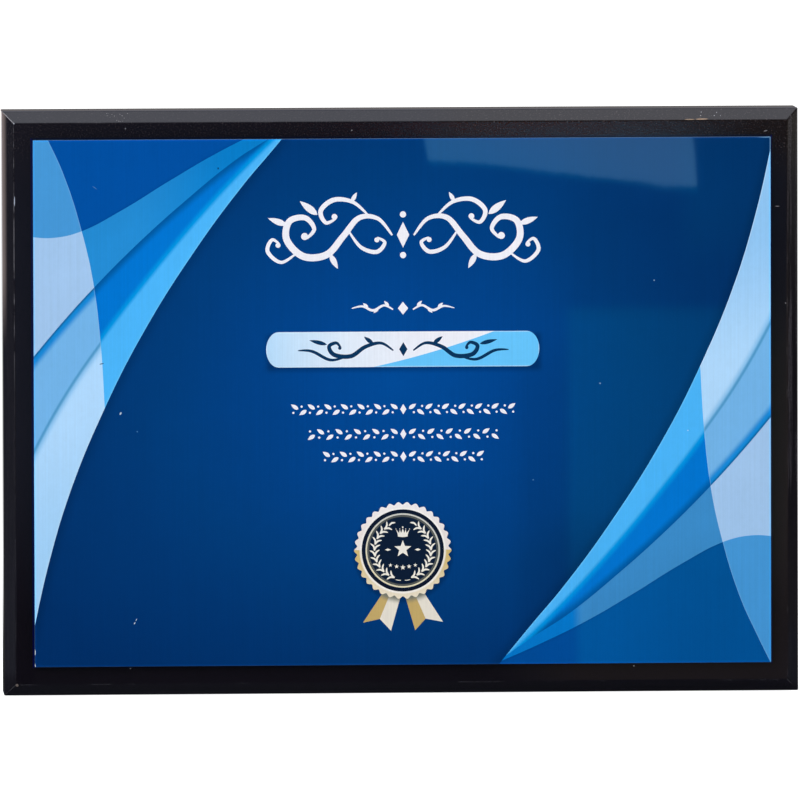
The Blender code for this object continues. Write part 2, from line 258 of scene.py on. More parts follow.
class Tree:
    """Adds and links the nodes of one tree."""

    def __init__(self, tree):
        self.tree = tree

    def add(self, kind, settings=None, sockets=None, **named):
        """A node of one kind: first its settings, then its sockets.

        Named sockets have underscores for spaces, and a list links every value in it.
        """
        node = self.tree.nodes.new(kind)
        for name, value in (settings or {}).items():
            if name == "stops":
                self.set_stops(node.color_ramp.elements, value)
            elif name == "points":
                self.set_points(node.mapping, value)
            else:
                setattr(node, name, value)
        named = {name.replace("_", " "): value for name, value in named.items()}
        for key, value in {**(sockets or {}), **named}.items():
            for part in value if isinstance(value, list) else [value]:
                if isinstance(part, Value):
                    self.tree.links.new(part.socket, node.inputs[key])
                else:
                    node.inputs[key].default_value = part
        return node

    def first(self, *kind, **named):
        """The first output of a new node."""
        return self.out(self.add(*kind, **named), 0)

    @staticmethod
    def set_stops(elements, stops):
        while len(elements) < len(stops):
            elements.new(0.5)
        for element, (position, tint) in zip(elements, stops):
            element.position = position
            element.color = opaque(tint)

    @staticmethod
    def set_points(mapping, points):
        line = mapping.curves[0].points
        while len(line) < len(points):
            line.new(0.5, 0.5)
        for point, place in zip(line, points):
            point.location = place
        mapping.update()

    def out(self, node, key):
        return Value(self, node.outputs[key])

    def math(self, operation, *values):
        return self.first("ShaderNodeMath", {"operation": operation}, dict(enumerate(values)))

    def vector_math(self, operation, first, second):
        kind = "ShaderNodeVectorMath"
        return self.first(kind, {"operation": operation}, {0: first, 1: second})

    def times(self, first, second):
        """The product of two colours or vectors, part by part."""
        return self.vector_math("MULTIPLY", first, second)

    def scale(self, vector, factor):
        kind = "ShaderNodeVectorMath"
        return self.first(kind, {"operation": "SCALE"}, Vector=vector, Scale=factor)

    def shade(self, tint, depth):
        """A colour, darker by a depth from 0 to 1."""
        return self.scale(tint, 1.0 - depth)

    def mix(self, factor, first, second):
        """first where factor is 0 and second where it is 1."""
        colour_sockets = {0: factor, 6: opaque(first), 7: opaque(second)}
        node = self.add("ShaderNodeMix", {"data_type": "RGBA"}, colour_sockets)
        return self.out(node, 2)

    def cover(self, tint, *layers):
        """A colour with others laid over it, each through its mask."""
        for mask, layer in layers:
            tint = self.mix(mask, tint, layer)
        return tint

    def pick(self, factor, first, second):
        """The number first where factor is 0 and second where it is 1."""
        return self.first("ShaderNodeMix", {}, {0: factor, 2: first, 3: second})

    def ramp(self, value, stops):
        return self.first("ShaderNodeValToRGB", {"stops": stops}, Fac=value)

    def place(self):
        return self.out(self.add("ShaderNodeTexCoord"), "Object")

    def split(self, vector):
        node = self.add("ShaderNodeSeparateXYZ", Vector=vector)
        return tuple(self.out(node, axis) for axis in "XYZ")

    def noise(self, place, scale, detail=2.0, roughness=0.5, stretch=None):
        """Noise from 0 to 1, scale features to the metre."""
        if stretch:
            place = self.times(place, stretch)
        return self.first(
            "ShaderNodeTexNoise", Vector=place, Scale=scale, Detail=detail, Roughness=roughness
        )

    def specks(self, place, scale, size, share):
        """1 on round specks of that size in metres, in a share of the cells."""
        node = self.add("ShaderNodeTexVoronoi", Vector=place, Scale=scale)
        away = self.out(node, "Distance") / scale
        chance = self.split(self.out(node, "Color"))[0]
        return (away < size * (0.4 + chance * 0.9)) * (chance < share)

    def surface(self, base, roughness, bump=None, **fixed):
        """The Principled shader and the output of a material."""
        if bump:
            height, depth = bump
            fixed["Normal"] = self.first("ShaderNodeBump", Height=height, Distance=depth)
        shader = self.first(
            "ShaderNodeBsdfPrincipled", Base_Color=base, Roughness=roughness, **fixed
        )
        self.add("ShaderNodeOutputMaterial", Surface=shader)

    def rays(self):
        """1 for what the camera sees, and 1 for what gloss or clear stuff mirrors."""
        node = self.add("ShaderNodeLightPath")
        kinds = ("Camera", "Glossy", "Transmission")
        seen, gloss, clear = (self.out(node, f"Is {kind} Ray") for kind in kinds)
        return seen, gloss.most(clear)


def opaque(tint):
    """A colour of three parts with a full fourth; a linked colour stays."""
    return tint if isinstance(tint, Value) else (*tint[:3], 1.0)


def new_material(name):
    """A material with its empty tree and the object coordinates in it."""
    material = bpy.data.materials.new(name)
    material.use_nodes = True
    material.node_tree.nodes.clear()
    tree = Tree(material.node_tree)
    return material, tree, tree.place()


# The print's lines, in millimetres from the plate's middle

SWEEP_ACROSS = (-90.0, -20.0)
SWEEP_UP = (-66.0, 78.0)
VEIL_ACROSS = (-95.0, -60.0)
RIGHT_RAISE = 7.22
OUTER_LINE = (
    (-89.0, -54.30), (-85.1, -37.32), (-80.0, -20.72), (-71.8, -1.12), (-62.6, 16.78),
    (-49.8, 36.98), (-37.8, 53.08), (-32.0, 59.88), (-22.9, 70.88),
)
SKY_LINE = (
    (-89.0, -11.6), (-81.5, 1.8), (-72.8, 14.5), (-61.8, 28.8), (-49.8, 43.2), (-37.8, 56.2),
    (-22.9, 70.4),
)
AZURE_LINE = (
    (-89.0, 11.23), (-81.2, 20.43), (-74.4, 27.83), (-64.2, 38.03), (-52.6, 48.43),
    (-39.8, 58.73), (-31.5, 64.03), (-22.9, 69.93),
)
BAND_LINE = (
    (-89.0, 40.2), (-83.8, 40.0), (-77.6, 41.4), (-67.4, 46.6), (-55.8, 53.7), (-43.8, 60.6),
    (-32.0, 66.3), (-22.9, 70.2),
)
VEIL_LINE = (
    (-60.0, -67.5), (-30.0, -70.2), (-1.0, -71.8), (14.3, -72.7), (28.3, -74.3), (42.4, -77.4),
    (54.5, -81.2), (63.7, -85.3), (73.0, -89.9),
)
FIELD_STOPS = (
    (0.00, (0, 74, 151)),
    (0.22, (0, 67, 140)),
    (0.37, (0, 63, 131)),
    (0.52, (0, 59, 121)),
    (0.68, (0, 54, 114)),
    (0.95, (0, 47, 103)),
)
BAR_STOPS = (
    (0.00, (184, 222, 252)),
    (0.15, (206, 230, 251)),
    (0.30, (227, 238, 251)),
    (0.60, (242, 243, 251)),
)
FIELD_REACH = 110.0
FIELD_LIFT = 4.0
FIELD_SQUEEZE = 1.15

# Small marks on the print: place, half length and half width, turn, tint, strength
PLATE_MARKS = (
    ((-74.0, 52.0), (0.70, 0.06), -35.0, (120, 170, 215), 0.5),
    ((-72.5, 9.6), (0.55, 0.14), 12.0, (30, 50, 80), 0.85),
    ((-44.3, 56.5), (0.20, 0.26), 0.0, (8, 40, 78), 0.85),
    ((-68.0, -2.4), (0.36, 0.20), 60.0, (205, 222, 236), 0.8),
    ((-64.8, -53.0), (0.28, 0.13), 62.0, (205, 222, 236), 0.85),
    ((-64.4, -52.2), (0.34, 0.09), 68.0, (190, 212, 232), 0.8),
    ((-64.0, -6.8), (0.16, 0.16), 0.0, (90, 150, 200), 0.6),
    ((60.7, 29.0), (0.17, 0.17), 0.0, (150, 180, 210), 0.7),
    ((47.6, 4.2), (0.18, 0.18), 0.0, (150, 180, 210), 0.7),
    ((31.4, -19.0), (0.2, 0.15), 20.0, (95, 150, 195), 0.6),
    ((68.8, -7.3), (0.15, 0.15), 0.0, (215, 235, 250), 0.6),
    ((-88.8, -59.9), (0.12, 0.70), 0.0, (240, 244, 250), 0.9),
    ((-88.8, -63.4), (0.12, 0.80), 0.0, (240, 244, 250), 0.9),
)
# Small marks on the board, in the same columns: chips, specks and painted highlights
BOARD_MARKS = (
    ((69.7, 67.83), (1.25, 0.10), 0.0, (160, 134, 106), 0.9),
    ((72.6, 67.90), (1.50, 0.13), 1.0, (170, 142, 114), 0.9),
    ((72.6, 69.5), (0.13, 0.13), 0.0, (160, 160, 166), 0.7),
    ((72.4, 68.7), (0.14, 0.12), 0.0, (170, 165, 165), 0.7),
    ((76.3, 69.4), (0.13, 0.13), 0.0, (150, 150, 158), 0.7),
    ((75.7, 68.7), (0.15, 0.13), 0.0, (160, 160, 166), 0.7),
    ((77.2, 68.7), (0.12, 0.12), 0.0, (150, 150, 156), 0.6),
    ((-66.3, 66.3), (0.16, 0.20), 0.0, (130, 132, 140), 0.6),
    # Painted highlight on the left ridge
    ((-93.03, 48.9), (0.10, 1.20), 0.0, (196, 206, 226), 0.70),
    # Painted highlight at the top of the left ridge
    ((-93.10, 67.6), (0.20, 0.16), 0.0, (190, 196, 208), 0.5),
    ((-92.9, -67.8), (0.34, 0.36), 20.0, (124, 112, 106), 0.85),
    ((90.8, 46.8), (0.55, 0.09), 0.0, (150, 146, 150), 0.75),
    ((-11.8, 65.6), (0.16, 0.16), 0.0, (150, 148, 152), 0.7),
    ((92.8, 23.4), (0.15, 0.15), 0.0, (140, 138, 142), 0.7),
    ((56.0, -64.1), (0.17, 0.17), 0.0, (190, 190, 190), 0.8),
    ((83.4, -63.5), (0.16, 0.16), 0.0, (170, 160, 165), 0.7),
    # Painted highlight by the plate's bottom edge
    ((-65.6, -63.9), (0.18, 0.13), 30.0, (150, 148, 152), 0.7),
    ((88.0, 65.0), (0.45, 0.14), 10.0, (150, 150, 156), 0.6),
)
HALF_U, HALF_V = PLATE_SIZE.x / 2 / MM, PLATE_SIZE.z / 2 / MM
SEAL_U, SEAL_V = -0.10, -35.86
BAR_LEFT, BAR_RIGHT = -32.9, 32.95
BAR_BOTTOM, BAR_TOP = 8.45, 16.98

# The right half of each ornament, from its own middle: a stroke's points, its
# width at the start, the middle and the end, and the knob in its curl
SCROLL_STROKES = (
    (
        (
            (2.6, -0.4), (6.0, 3.6), (10.6, 3.8), (14.4, -0.6), (18.4, -5.0), (24.0, -5.4),
            (28.0, -1.4), (27.4, 3.0), (23.6, 3.9), (21.4, 1.2), (23.2, -1.1),
        ),
        (0.4, 1.7, 0.5),
        (23.7, -0.6, 0.85),
    ),
    (
        ((8.2, 4.3), (12.0, 7.6), (16.6, 8.2), (19.8, 5.6), (18.6, 2.7), (16.2, 3.6)),
        (0.3, 1.15, 0.4),
        (16.5, 4.1, 0.7),
    ),
    (
        ((25.6, -4.6), (29.4, -6.8), (32.6, -4.2), (31.6, -1.4), (29.8, -2.3)),
        (0.3, 0.95, 0.35),
        (30.1, -2.7, 0.6),
    ),
    (
        ((13.2, 0.8), (10.2, -3.2), (6.4, -4.4), (4.4, -2.2), (6.2, -0.9)),
        (0.3, 1.0, 0.35),
        (6.3, -1.5, 0.6),
    ),
)
# Leaves: foot, turn in degrees, length and width
SCROLL_LEAVES = (
    ((20.6, 4.6), 38, (5.4, 1.7)),
    ((28.0, 2.2), 20, (4.8, 1.5)),
    ((17.6, -4.9), -118, (4.0, 1.4)),
    ((12.4, 7.7), 120, (2.6, 1.0)),
)
BAR_STROKES = (
    (
        (
            (2.4, -0.3), (5.4, 1.5), (9.2, 0.6), (12.6, -1.6), (16.6, -1.3), (17.9, 0.7),
            (16.2, 1.6), (15.1, 0.5),
        ),
        (0.3, 1.05, 0.4),
    ),
    (((13.6, -1.7), (17.6, -2.5), (22.0, -0.4), (25.4, -0.2)), (0.25, 0.75, 0.15)),
)
TAILS = (
    ("tail_gold", ((-4.45, -9.6), (-3.0, -10.2), (-5.6, -16.5), (-9.66, -17.4))),
    ("tail_cream", ((-3.0, -10.2), (-0.3, -10.2), (-2.9, -19.4), (-5.6, -16.5))),
    ("tail_gold", ((0.3, -10.2), (2.7, -10.2), (5.47, -16.5), (2.94, -19.3))),
    ("tail_cream", ((2.7, -10.2), (4.7, -9.6), (9.66, -17.3), (5.47, -16.5))),
)
CROWN_HALF = ((1.15, 3.35), (1.22, 3.95), (1.62, 5.15), (0.92, 4.22), (0.70, 5.1), (0.38, 4.25))
CROWN_PEAK, CROWN_FOOT = (0.0, 5.35), (0.0, 3.22)


# Inks


def follow(tree, line, at, across=SWEEP_ACROSS, up=SWEEP_UP):
    """The height of a drawn line at a place along it."""
    span = across[1] - across[0]
    rise = up[1] - up[0]
    points = [((a - across[0]) / span, (b - up[0]) / rise) for a, b in line]
    along = (at - across[0]) / span
    return tree.first("ShaderNodeFloatCurve", {"points": points}, Value=along) * rise + up[0]


def over(tree, line, u, v):
    """How far a place lies above a drawn line, square to it."""
    step = 0.7
    rise = follow(tree, line, u + step) - follow(tree, line, u - step)
    slope = rise / (2 * step)
    return (v - follow(tree, line, u)) / (slope * slope + 1.0) ** 0.5


def from_seal(u, v, across=0.0, up=0.0):
    """How far a place is from the seal's middle, or from a point beside it."""
    return ((u - (SEAL_U + across)) ** 2.0 + (v - (SEAL_V + up)) ** 2.0) ** 0.5


def past_bar(u, v, across=0.0, up=0.0):
    """How far a place is past the pale bar's sides, with the bar moved that much."""
    past_u = abs(u - (BAR_LEFT + BAR_RIGHT) / 2 - across) - (BAR_RIGHT - BAR_LEFT) / 2
    past_v = abs(v - (BAR_BOTTOM + BAR_TOP) / 2 - up) - (BAR_TOP - BAR_BOTTOM) / 2
    return past_u, past_v


def add_marks(tree, base, u, v, marks, front=1.0):
    """Lays small oval marks over a colour, on the front alone."""
    for (mark_u, mark_v), (reach, half), degrees, tint, strength in marks:
        turn = math.radians(degrees)
        across, up = u - mark_u, v - mark_v
        along = (across * math.cos(turn) + up * math.sin(turn)) / reach
        aside = (up * math.cos(turn) - across * math.sin(turn)) / half
        inside = (along * along + aside * aside).ease(1.3, 0.5)
        base = tree.mix(inside * strength * front, base, srgb(*tint))
    return base


def printed(name, ink, *more):
    """A clear gloss coat over an ink, with printing streaks, dust and smudges."""
    material, tree, place = new_material(name)
    x, _, z = tree.split(place)
    base = ink(tree, (x - PLATE_MIDDLE.x) / MM, (z - PLATE_MIDDLE.z) / MM, *more)
    streaks = tree.noise(place, 1.0, 2.0, 0.6, stretch=(2200.0, 1.0, 25.0))
    mottle = tree.noise(place, 900.0, 3.0, 0.6)
    cloud = tree.noise(place, 75.0, 3.0, 0.6)
    base = tree.scale(base, 0.83 + streaks * 0.17 + mottle * 0.08 + cloud * 0.10)
    fine_dust = tree.specks(place, 210.0, 0.00006, 0.16)
    dust = tree.specks(place, 70.0, 0.00011, 0.22).most(fine_dust * 0.6)
    base = tree.mix(dust * 0.45, base, srgb(150, 190, 220))
    smudge = tree.noise(place, 22.0, 3.0, 0.55).ease(0.45, 0.75)
    wave = tree.noise(place, 45.0, 1.0, 0.5)
    rough = 0.009 + smudge * 0.005 + dust * 0.4
    tree.surface(base, rough, bump=(wave, 0.000004), IOR=1.48)
    return material


def field_ink(tree, u, v, colours):
    """The blue ground with its sweeping bands in two opposite corners."""
    left = u < 0.0
    across = -abs(u)
    up = v + (1.0 - left) * (RIGHT_RAISE - v * 2.0)

    # Ground, with soft shade under the seal and under the pale bar
    far = (u * u + ((v - FIELD_LIFT) * FIELD_SQUEEZE) ** 2.0) ** 0.5
    stops = [(at, srgb(*parts)) for at, parts in FIELD_STOPS]
    ink = tree.ramp(far / FIELD_REACH, stops)
    # Painted reflection: the print lighter and greener at the lower right
    warm = u.ease(38.0, 42.0) * v.ease(24.0, 21.0)
    ink = tree.mix(warm, ink, tree.times(ink, (1.0, 1.17, 1.02)))
    teal = u.ease(64.0, 72.0) * v.ease(28.0, 45.0)
    ink = tree.mix(teal, ink, tree.times(ink, (1.0, 1.20, 1.08)))
    above = v.ease(18.0, 25.0)
    bar_u, bar_v = past_bar(u, v, 0.25, -0.75)
    shades = (
        u.ease(28.0, 50.0) * above * 0.09,
        u.ease(30.0, 55.0) * v.ease(52.0, 42.0) * above * 0.07,
        u.ease(25.0, 42.0) * v.ease(-25.0, -38.0) * 0.13,
        u.ease(25.0, 31.0) * u.ease(41.5, 39.0) * v.ease(20.0, 0.0) * 0.10,
        from_seal(u, v, 0.1, -0.5).ease(12.6, 11.4) * 0.35,
        bar_u.ease(1.1, -0.9) * bar_v.ease(1.1, -0.9) * 0.42,
    )
    for depth in shades:
        ink = tree.shade(ink, depth)

    outer, sky, azure, band = (
        over(tree, line, across, up) for line in (OUTER_LINE, SKY_LINE, AZURE_LINE, BAND_LINE)
    )
    veil = follow(tree, VEIL_LINE, up, SWEEP_UP, VEIL_ACROSS) - across

    # Bands, and the corner behind them
    deep = tree.shade(colours.azure, azure.ease(-2.2, -0.1) * 0.45)
    past_tip = u.ease(40.6, 43.6)
    left_band = tree.mix(across.ease(-68.0, -40.0), colours.band_left, srgb(8, 126, 202))
    right_band = tree.mix(past_tip, srgb(4, 122, 205), colours.band_right)
    upper = tree.mix(left, right_band, left_band)
    upper = tree.scale(upper, 1.03 - band.ease(-7.0, 0.0) * 0.05)
    behind = tree.shade(colours.corner_right, u.ease(48.0, 76.0) * 0.13)
    behind = tree.mix(past_tip, tree.times(behind, (1.0, 0.78, 0.93)), behind)
    corner = tree.mix(left, behind, colours.corner_left)
    corner = tree.shade(corner, band.ease(0.8, 0.0) * 0.12)

    # The veil, a pale ellipse over the bands
    foot = tree.mix(left, srgb(145, 199, 244), srgb(163, 210, 248))
    middle = tree.mix(azure.ease(-2.6, -0.9), colours.veil_azure, colours.strip)
    middle = tree.shade(middle, azure.ease(-0.8, 0.0) * 0.5)
    pale = tree.cover(
        foot,
        (up.ease(-38.0, 2.0), colours.veil_sky),
        (sky.ease(-2.0, 0.0), srgb(120, 184, 231)),
        (outer.ease(0.4, 0.0) * 0.5, srgb(200, 233, 255)),
        (sky > 0.0, middle),
        (sky.ease(-0.7, -0.05) * sky.ease(0.5, 0.0) * 0.75, srgb(62, 140, 188)),
        (azure > 0.0, colours.veil_band),
        (band > 0.0, colours.veil_corner),
        (veil.ease(0.3, 0.0) * 0.15, srgb(205, 230, 250)),
    )
    ink = tree.shade(ink, outer.ease(-3.0, 0.0) * 0.20)
    ribbon = tree.cover(
        colours.sky,
        (outer.ease(0.5, 0.0) * 0.6, srgb(112, 204, 255)),
        (sky.ease(-0.5, 0.5), colours.cyan),
        (sky.ease(0.3, 1.8), deep),
        (azure > 0.0, upper),
        (band > 0.0, corner),
        (veil > 0.0, pale),
    )
    ink = tree.mix(outer > 0.0, ink, ribbon)

    # The lit lip of the plate's edge
    margin = (HALF_U - abs(u)).least(HALF_V - abs(v))
    lit = tree.times(ink, (0.75, 1.12, 1.28))
    lit = tree.vector_math("ADD", lit, (0.0, 0.008, 0.02))
    glint = u.ease(85.0, 88.0) * v.ease(56.0, 62.0) * margin.ease(0.35, 0.10)
    lip = (margin.ease(0.60, 0.25) * 0.85, lit)
    ink = tree.cover(ink, lip, (glint * 0.8, srgb(120, 172, 210)))
    return add_marks(tree, ink, u, v, PLATE_MARKS)


def plain_ink(tree, u, v, tint, second=None, slant=0.0):
    """An ink that shades from tint to second over the seal, top to bottom."""
    return tree.mix((v - SEAL_V + u * slant).ease(9.0, -9.0), tint, second or tint)


def rosette_ink(tree, u, v, colours):
    """Cream above the seal's middle, gold below it, paler towards its foot."""
    rise = v - SEAL_V
    lower = tree.mix(rise.ease(-1.0, -11.0), colours.gold, srgb(238, 226, 200))
    upper = tree.mix(rise.ease(11.5, 3.0), srgb(243, 238, 238), colours.cream)
    ink = tree.mix(rise > 0.15, lower, upper)
    return tree.mix(from_seal(u, v).ease(10.6, 10.2) * 0.8, ink, srgb(250, 246, 240))


def tail_ink(tree, u, v, tint):
    """A ribbon tail, shaded where the seal lies over it."""
    return tree.mix(from_seal(u, v).ease(13.2, 11.3), tint, srgb(120, 124, 112))


def seal_ink(tree, u, v, colours):
    """The seal's navy middle, with a soft lit ring inside its cream line."""
    far = from_seal(u, v)
    glow = far.ease(8.0, 8.35) * far.ease(8.62, 8.35)
    ink = tree.mix(glow * 0.6, colours.navy, srgb(122, 124, 112))
    return tree.mix(far > 9.2, ink, srgb(14, 22, 42))


def bar_ink(tree, u, v):
    """The pale bar: whitish on the left, and sky blue under a slanting sweep."""
    along = u + 7.0
    sweep = 8.5 + along * 0.2115 + along * along * 0.00275
    stops = [(at, srgb(*parts)) for at, parts in BAR_STOPS]
    whitish = tree.ramp((u + 33.0) / 66.0, stops)
    below = (v < sweep) * (u > -8.0)
    ink = tree.mix(below, whitish, srgb(104, 199, 253))
    past_u, past_v = past_bar(u, v)
    return tree.mix(past_u.most(past_v).ease(-0.35, 0.0) * 0.4, ink, srgb(240, 250, 255))


def cut_metal(colours):
    """The plate's bare sheared edge and back."""
    material, tree, place = new_material("cut_metal")
    grain = tree.noise(place, 1.0, 3.0, 0.6, stretch=(300.0, 9000.0, 300.0))
    tarnish = tree.noise(place, 60.0, 3.0, 0.6)
    base = tree.mix(tarnish * 0.5 + grain * 0.3, colours.metal, srgb(84, 96, 116))
    tree.surface(base, 0.32 + grain * 0.2, bump=(grain, 0.00002), Metallic=0.8)
    return material


# Outlines of the ornaments, in millimetres


def arc(u, v, reach_u, reach_v, first, sweep, steps):
    """Points along part of an ellipse, both ends among them."""
    turns = [first + sweep * i / steps for i in range(steps + 1)]
    return [(u + reach_u * math.cos(a), v + reach_v * math.sin(a)) for a in turns]


def circle(u, v, radius, count=64):
    return arc(u, v, radius, radius, 0.0, math.tau, count)[:-1]


def spokes(u, v, reaches):
    """A closed outline round a middle, its first point at the top."""
    turns = [math.pi / 2 + math.tau * i / len(reaches) for i in range(len(reaches))]
    return [(u + r * math.cos(a), v + r * math.sin(a)) for r, a in zip(reaches, turns)]


def star(u, v, radius, waist=0.42, points=5):
    return spokes(u, v, [radius, radius * waist] * points)


def scallops(u, v, valley, peak, count=34, steps=10):
    waves = [0.5 - 0.5 * math.cos(math.tau * i / steps) for i in range(steps)]
    return spokes(u, v, [valley + (peak - valley) * wave**0.8 for wave in waves] * count)


def smooth_line(points, steps=9):
    """A Catmull-Rom curve through points."""
    ends = [Vector(point) for point in (points[0], *points, points[-1])]
    line = []
    for a, b, c, d in zip(ends, ends[1:], ends[2:], ends[3:]):
        for i in range(steps):
            t = i / steps
            bend = (2 * a - 5 * b + 4 * c - d) * t * t + (3 * b - a - 3 * c + d) * t**3
            line.append(0.5 * (2 * b + (c - a) * t + bend))
    return [*line, ends[-1]]


def stroke(points, start, middle, end):
    """A pen stroke through points, as wide as said at its start, middle and end."""
    line = smooth_line(points)
    left, right = [], []
    for i, point in enumerate(line):
        along = i / (len(line) - 1)
        swell = math.sin(math.pi * along) ** 0.8
        width = (start * (1 - along) + end * along) * (1 - swell) + middle * swell
        ahead = line[min(i + 1, len(line) - 1)] - line[max(i - 1, 0)]
        side = Vector((-ahead.y, ahead.x)).normalized() * width / 2
        left.append(tuple(point + side))
        right.append(tuple(point - side))
    return left + right[::-1]


def leaf(u, v, degrees, reach, width):
    """A pointed leaf from its foot at u, v."""
    turn = math.radians(degrees)
    steps = 8
    there = [(i / steps, 1) for i in range(steps)]
    back = [(i / steps, -1) for i in range(steps, 0, -1)]
    outline = []
    for along, side in there + back:
        half = side * width / 2 * math.sin(math.pi * along**0.8) ** 0.9
        across = reach * along * math.cos(turn) - half * math.sin(turn)
        up = reach * along * math.sin(turn) + half * math.cos(turn)
        outline.append((u + across, v + up))
    return outline


def lozenge(u, v, half_u, half_v):
    return [(u - half_u, v), (u, v - half_v), (u + half_u, v), (u, v + half_v)]


def pill(left, right, bottom, top, end):
    """A bar whose ends are half ellipses of depth end."""
    half, middle = (top - bottom) / 2, (top + bottom) / 2
    steps = 16
    right_end = arc(right - end, middle, end, half, -math.pi / 2, math.pi, steps)
    return right_end + arc(left + end, middle, end, half, math.pi / 2, math.pi, steps)


class Pen:
    """Lays outlines in one ink on a stack, given from the pen's own middle."""

    def __init__(self, shapes, ink, u=0.0, v=0.0):
        self.shapes, self.ink, self.u, self.v = shapes, ink, u, v

    def lay(self, outline):
        outline = [(self.u + a, self.v + b) for a, b in outline]
        sides = zip(outline, outline[1:] + outline[:1])
        area = sum(a[0] * b[1] - b[0] * a[1] for a, b in sides)
        self.shapes.append((self.ink, outline if area > 0 else outline[::-1]))

    def pair(self, outline):
        """Lays an outline and its mirror image."""
        self.lay(outline)
        self.lay([(-a, b) for a, b in outline])


def lay_scroll(shapes):
    """A wide pair of scrolls with leaves and a lozenge, high on the plate."""
    pen = Pen(shapes, "white", 0.15, 40.6)
    for line, widths, knob in SCROLL_STROKES:
        pen.pair(stroke(line, *widths))
        pen.pair(circle(*knob, 20))
    for foot, degrees, size in SCROLL_LEAVES:
        pen.pair(leaf(*foot, degrees, *size))
    pen.lay(lozenge(0.0, -0.3, 1.5, 3.1))
    for up in (4.6, -5.2):
        pen.lay(circle(0.0, up, 0.75, 24))


def lay_divider(shapes):
    """A lozenge between two fine sprigs, under the scroll."""
    pen = Pen(shapes, "white", 0.1, 22.6)
    wave = ((2.4, -0.3), (4.6, 0.7), (7.2, -0.5), (9.8, 0.5), (12.4, 0.0))
    pen.pair(stroke(wave, 0.3, 0.6, 0.12))
    for across, up, degrees in ((3.4, 0.5, 48), (5.9, 0.1, -46), (8.4, 0.1, 44)):
        pen.pair(leaf(across, up, degrees, 1.7, 0.75))
    pen.lay(lozenge(0.0, 0.0, 1.25, 1.55))


def lay_bar_ornament(shapes):
    """A flat scroll in dark ink on the pale bar."""
    pen = Pen(shapes, "bar_dark", 0.15, (BAR_BOTTOM + BAR_TOP) / 2)
    for line, widths in BAR_STROKES:
        pen.pair(stroke(line, *widths))
    pen.pair(circle(15.3, 0.35, 0.42, 16))
    pen.pair(leaf(7.2, 1.3, 38, 2.9, 1.0))
    pen.pair(leaf(18.4, 1.2, 14, 4.4, 1.0))
    pen.lay(lozenge(0.0, 0.0, 1.0, 1.7))


def lay_leafy_rows(shapes):
    """Three rows of running leaves, each shorter than the last."""
    for v, half in ((-1.75, 27.4), (-7.75, 23.4), (-13.2, 19.8)):
        pen = Pen(shapes, "white", 0.1, v)
        pen.lay(lozenge(0.0, 0.0, 0.75, 1.25))
        first, last = 1.35, half - 2.1
        count = round((last - first) / 1.9)
        pitch = (last - first) / (count - 1)
        for i in range(count):
            foot = first + i * pitch
            side = 1 if i % 2 == 0 else -1
            pen.pair(leaf(foot, 0.1 * side, 34 * side, 2.1, 0.95))
            pen.pair(circle(foot + 1.2, -0.75 * side, 0.27, 12))


def lay_seal(shapes):
    """A scalloped rosette with two tails, a wreath, a crown and stars."""

    def pen(ink):
        return Pen(shapes, ink, SEAL_U, SEAL_V)

    for ink, corners in TAILS:
        pen(ink).lay(corners)
    pen("rosette").lay(scallops(0.0, 0.0, 11.05, 11.72))
    for ink, radius in (("seal", 9.93), ("line", 8.98), ("seal", 8.60)):
        pen(ink).lay(circle(0.0, 0.0, radius, 120))

    # Wreath: pairs of leaves up each side, and one leaf at each tip
    wreath = pen("wreath")
    pairs = 11
    first, pitch, reach = -73.0, 12.2, 6.85
    for i in range(pairs + 1):
        turn = math.radians(first + pitch * i)
        foot = Vector((math.cos(turn), math.sin(turn))) * reach
        for spread, long in ((-30.0, 1.95), (46.0, 1.95)) if i < pairs else ((4.0, 1.7),):
            ahead = turn + math.pi / 2 + math.radians(spread)
            way = Vector((math.cos(ahead), math.sin(ahead))) * long
            bow = Vector((way.y, -way.x)) * (0.17 if spread > 0.0 else -0.17)
            wreath.pair(stroke((foot, foot + way * 0.5 + bow, foot + way), 0.26, 0.44, 0.05))
    wreath.pair(stroke(((-1.75, -7.05), (-1.1, -7.18), (-0.45, -7.2)), 0.12, 0.17, 0.12))

    # Crown
    wreath.lay([*CROWN_HALF, CROWN_PEAK, *((-a, b) for a, b in CROWN_HALF[::-1]), CROWN_FOOT])
    wreath.lay(circle(0.0, 5.6, 0.2, 14))
    for across, up in ((1.64, 5.2), (0.71, 5.2)):
        wreath.pair(circle(across, up, 0.11, 12))

    # Stars
    wreath.lay(star(0.0, 0.35, 2.15))
    wreath.pair(lozenge(3.6, 0.2, 0.75, 0.3))
    wreath.lay(star(0.0, -4.1, 0.66))
    wreath.pair(star(1.5, -3.87, 0.58))
    wreath.pair(star(3.0, -3.55, 0.5))


def plate_outline(inset, corner):
    """The plate's outline, rounded, that far in from its edge."""
    radius = max(corner - inset, 0.05)
    outline = []
    for quarter, (side_u, side_v) in enumerate(((1, 1), (-1, 1), (-1, -1), (1, -1))):
        u = side_u * (HALF_U - inset - radius)
        v = side_v * (HALF_V - inset - radius)
        outline += arc(u, v, radius, radius, math.pi / 2 * quarter, math.pi / 2, 6)
    return outline


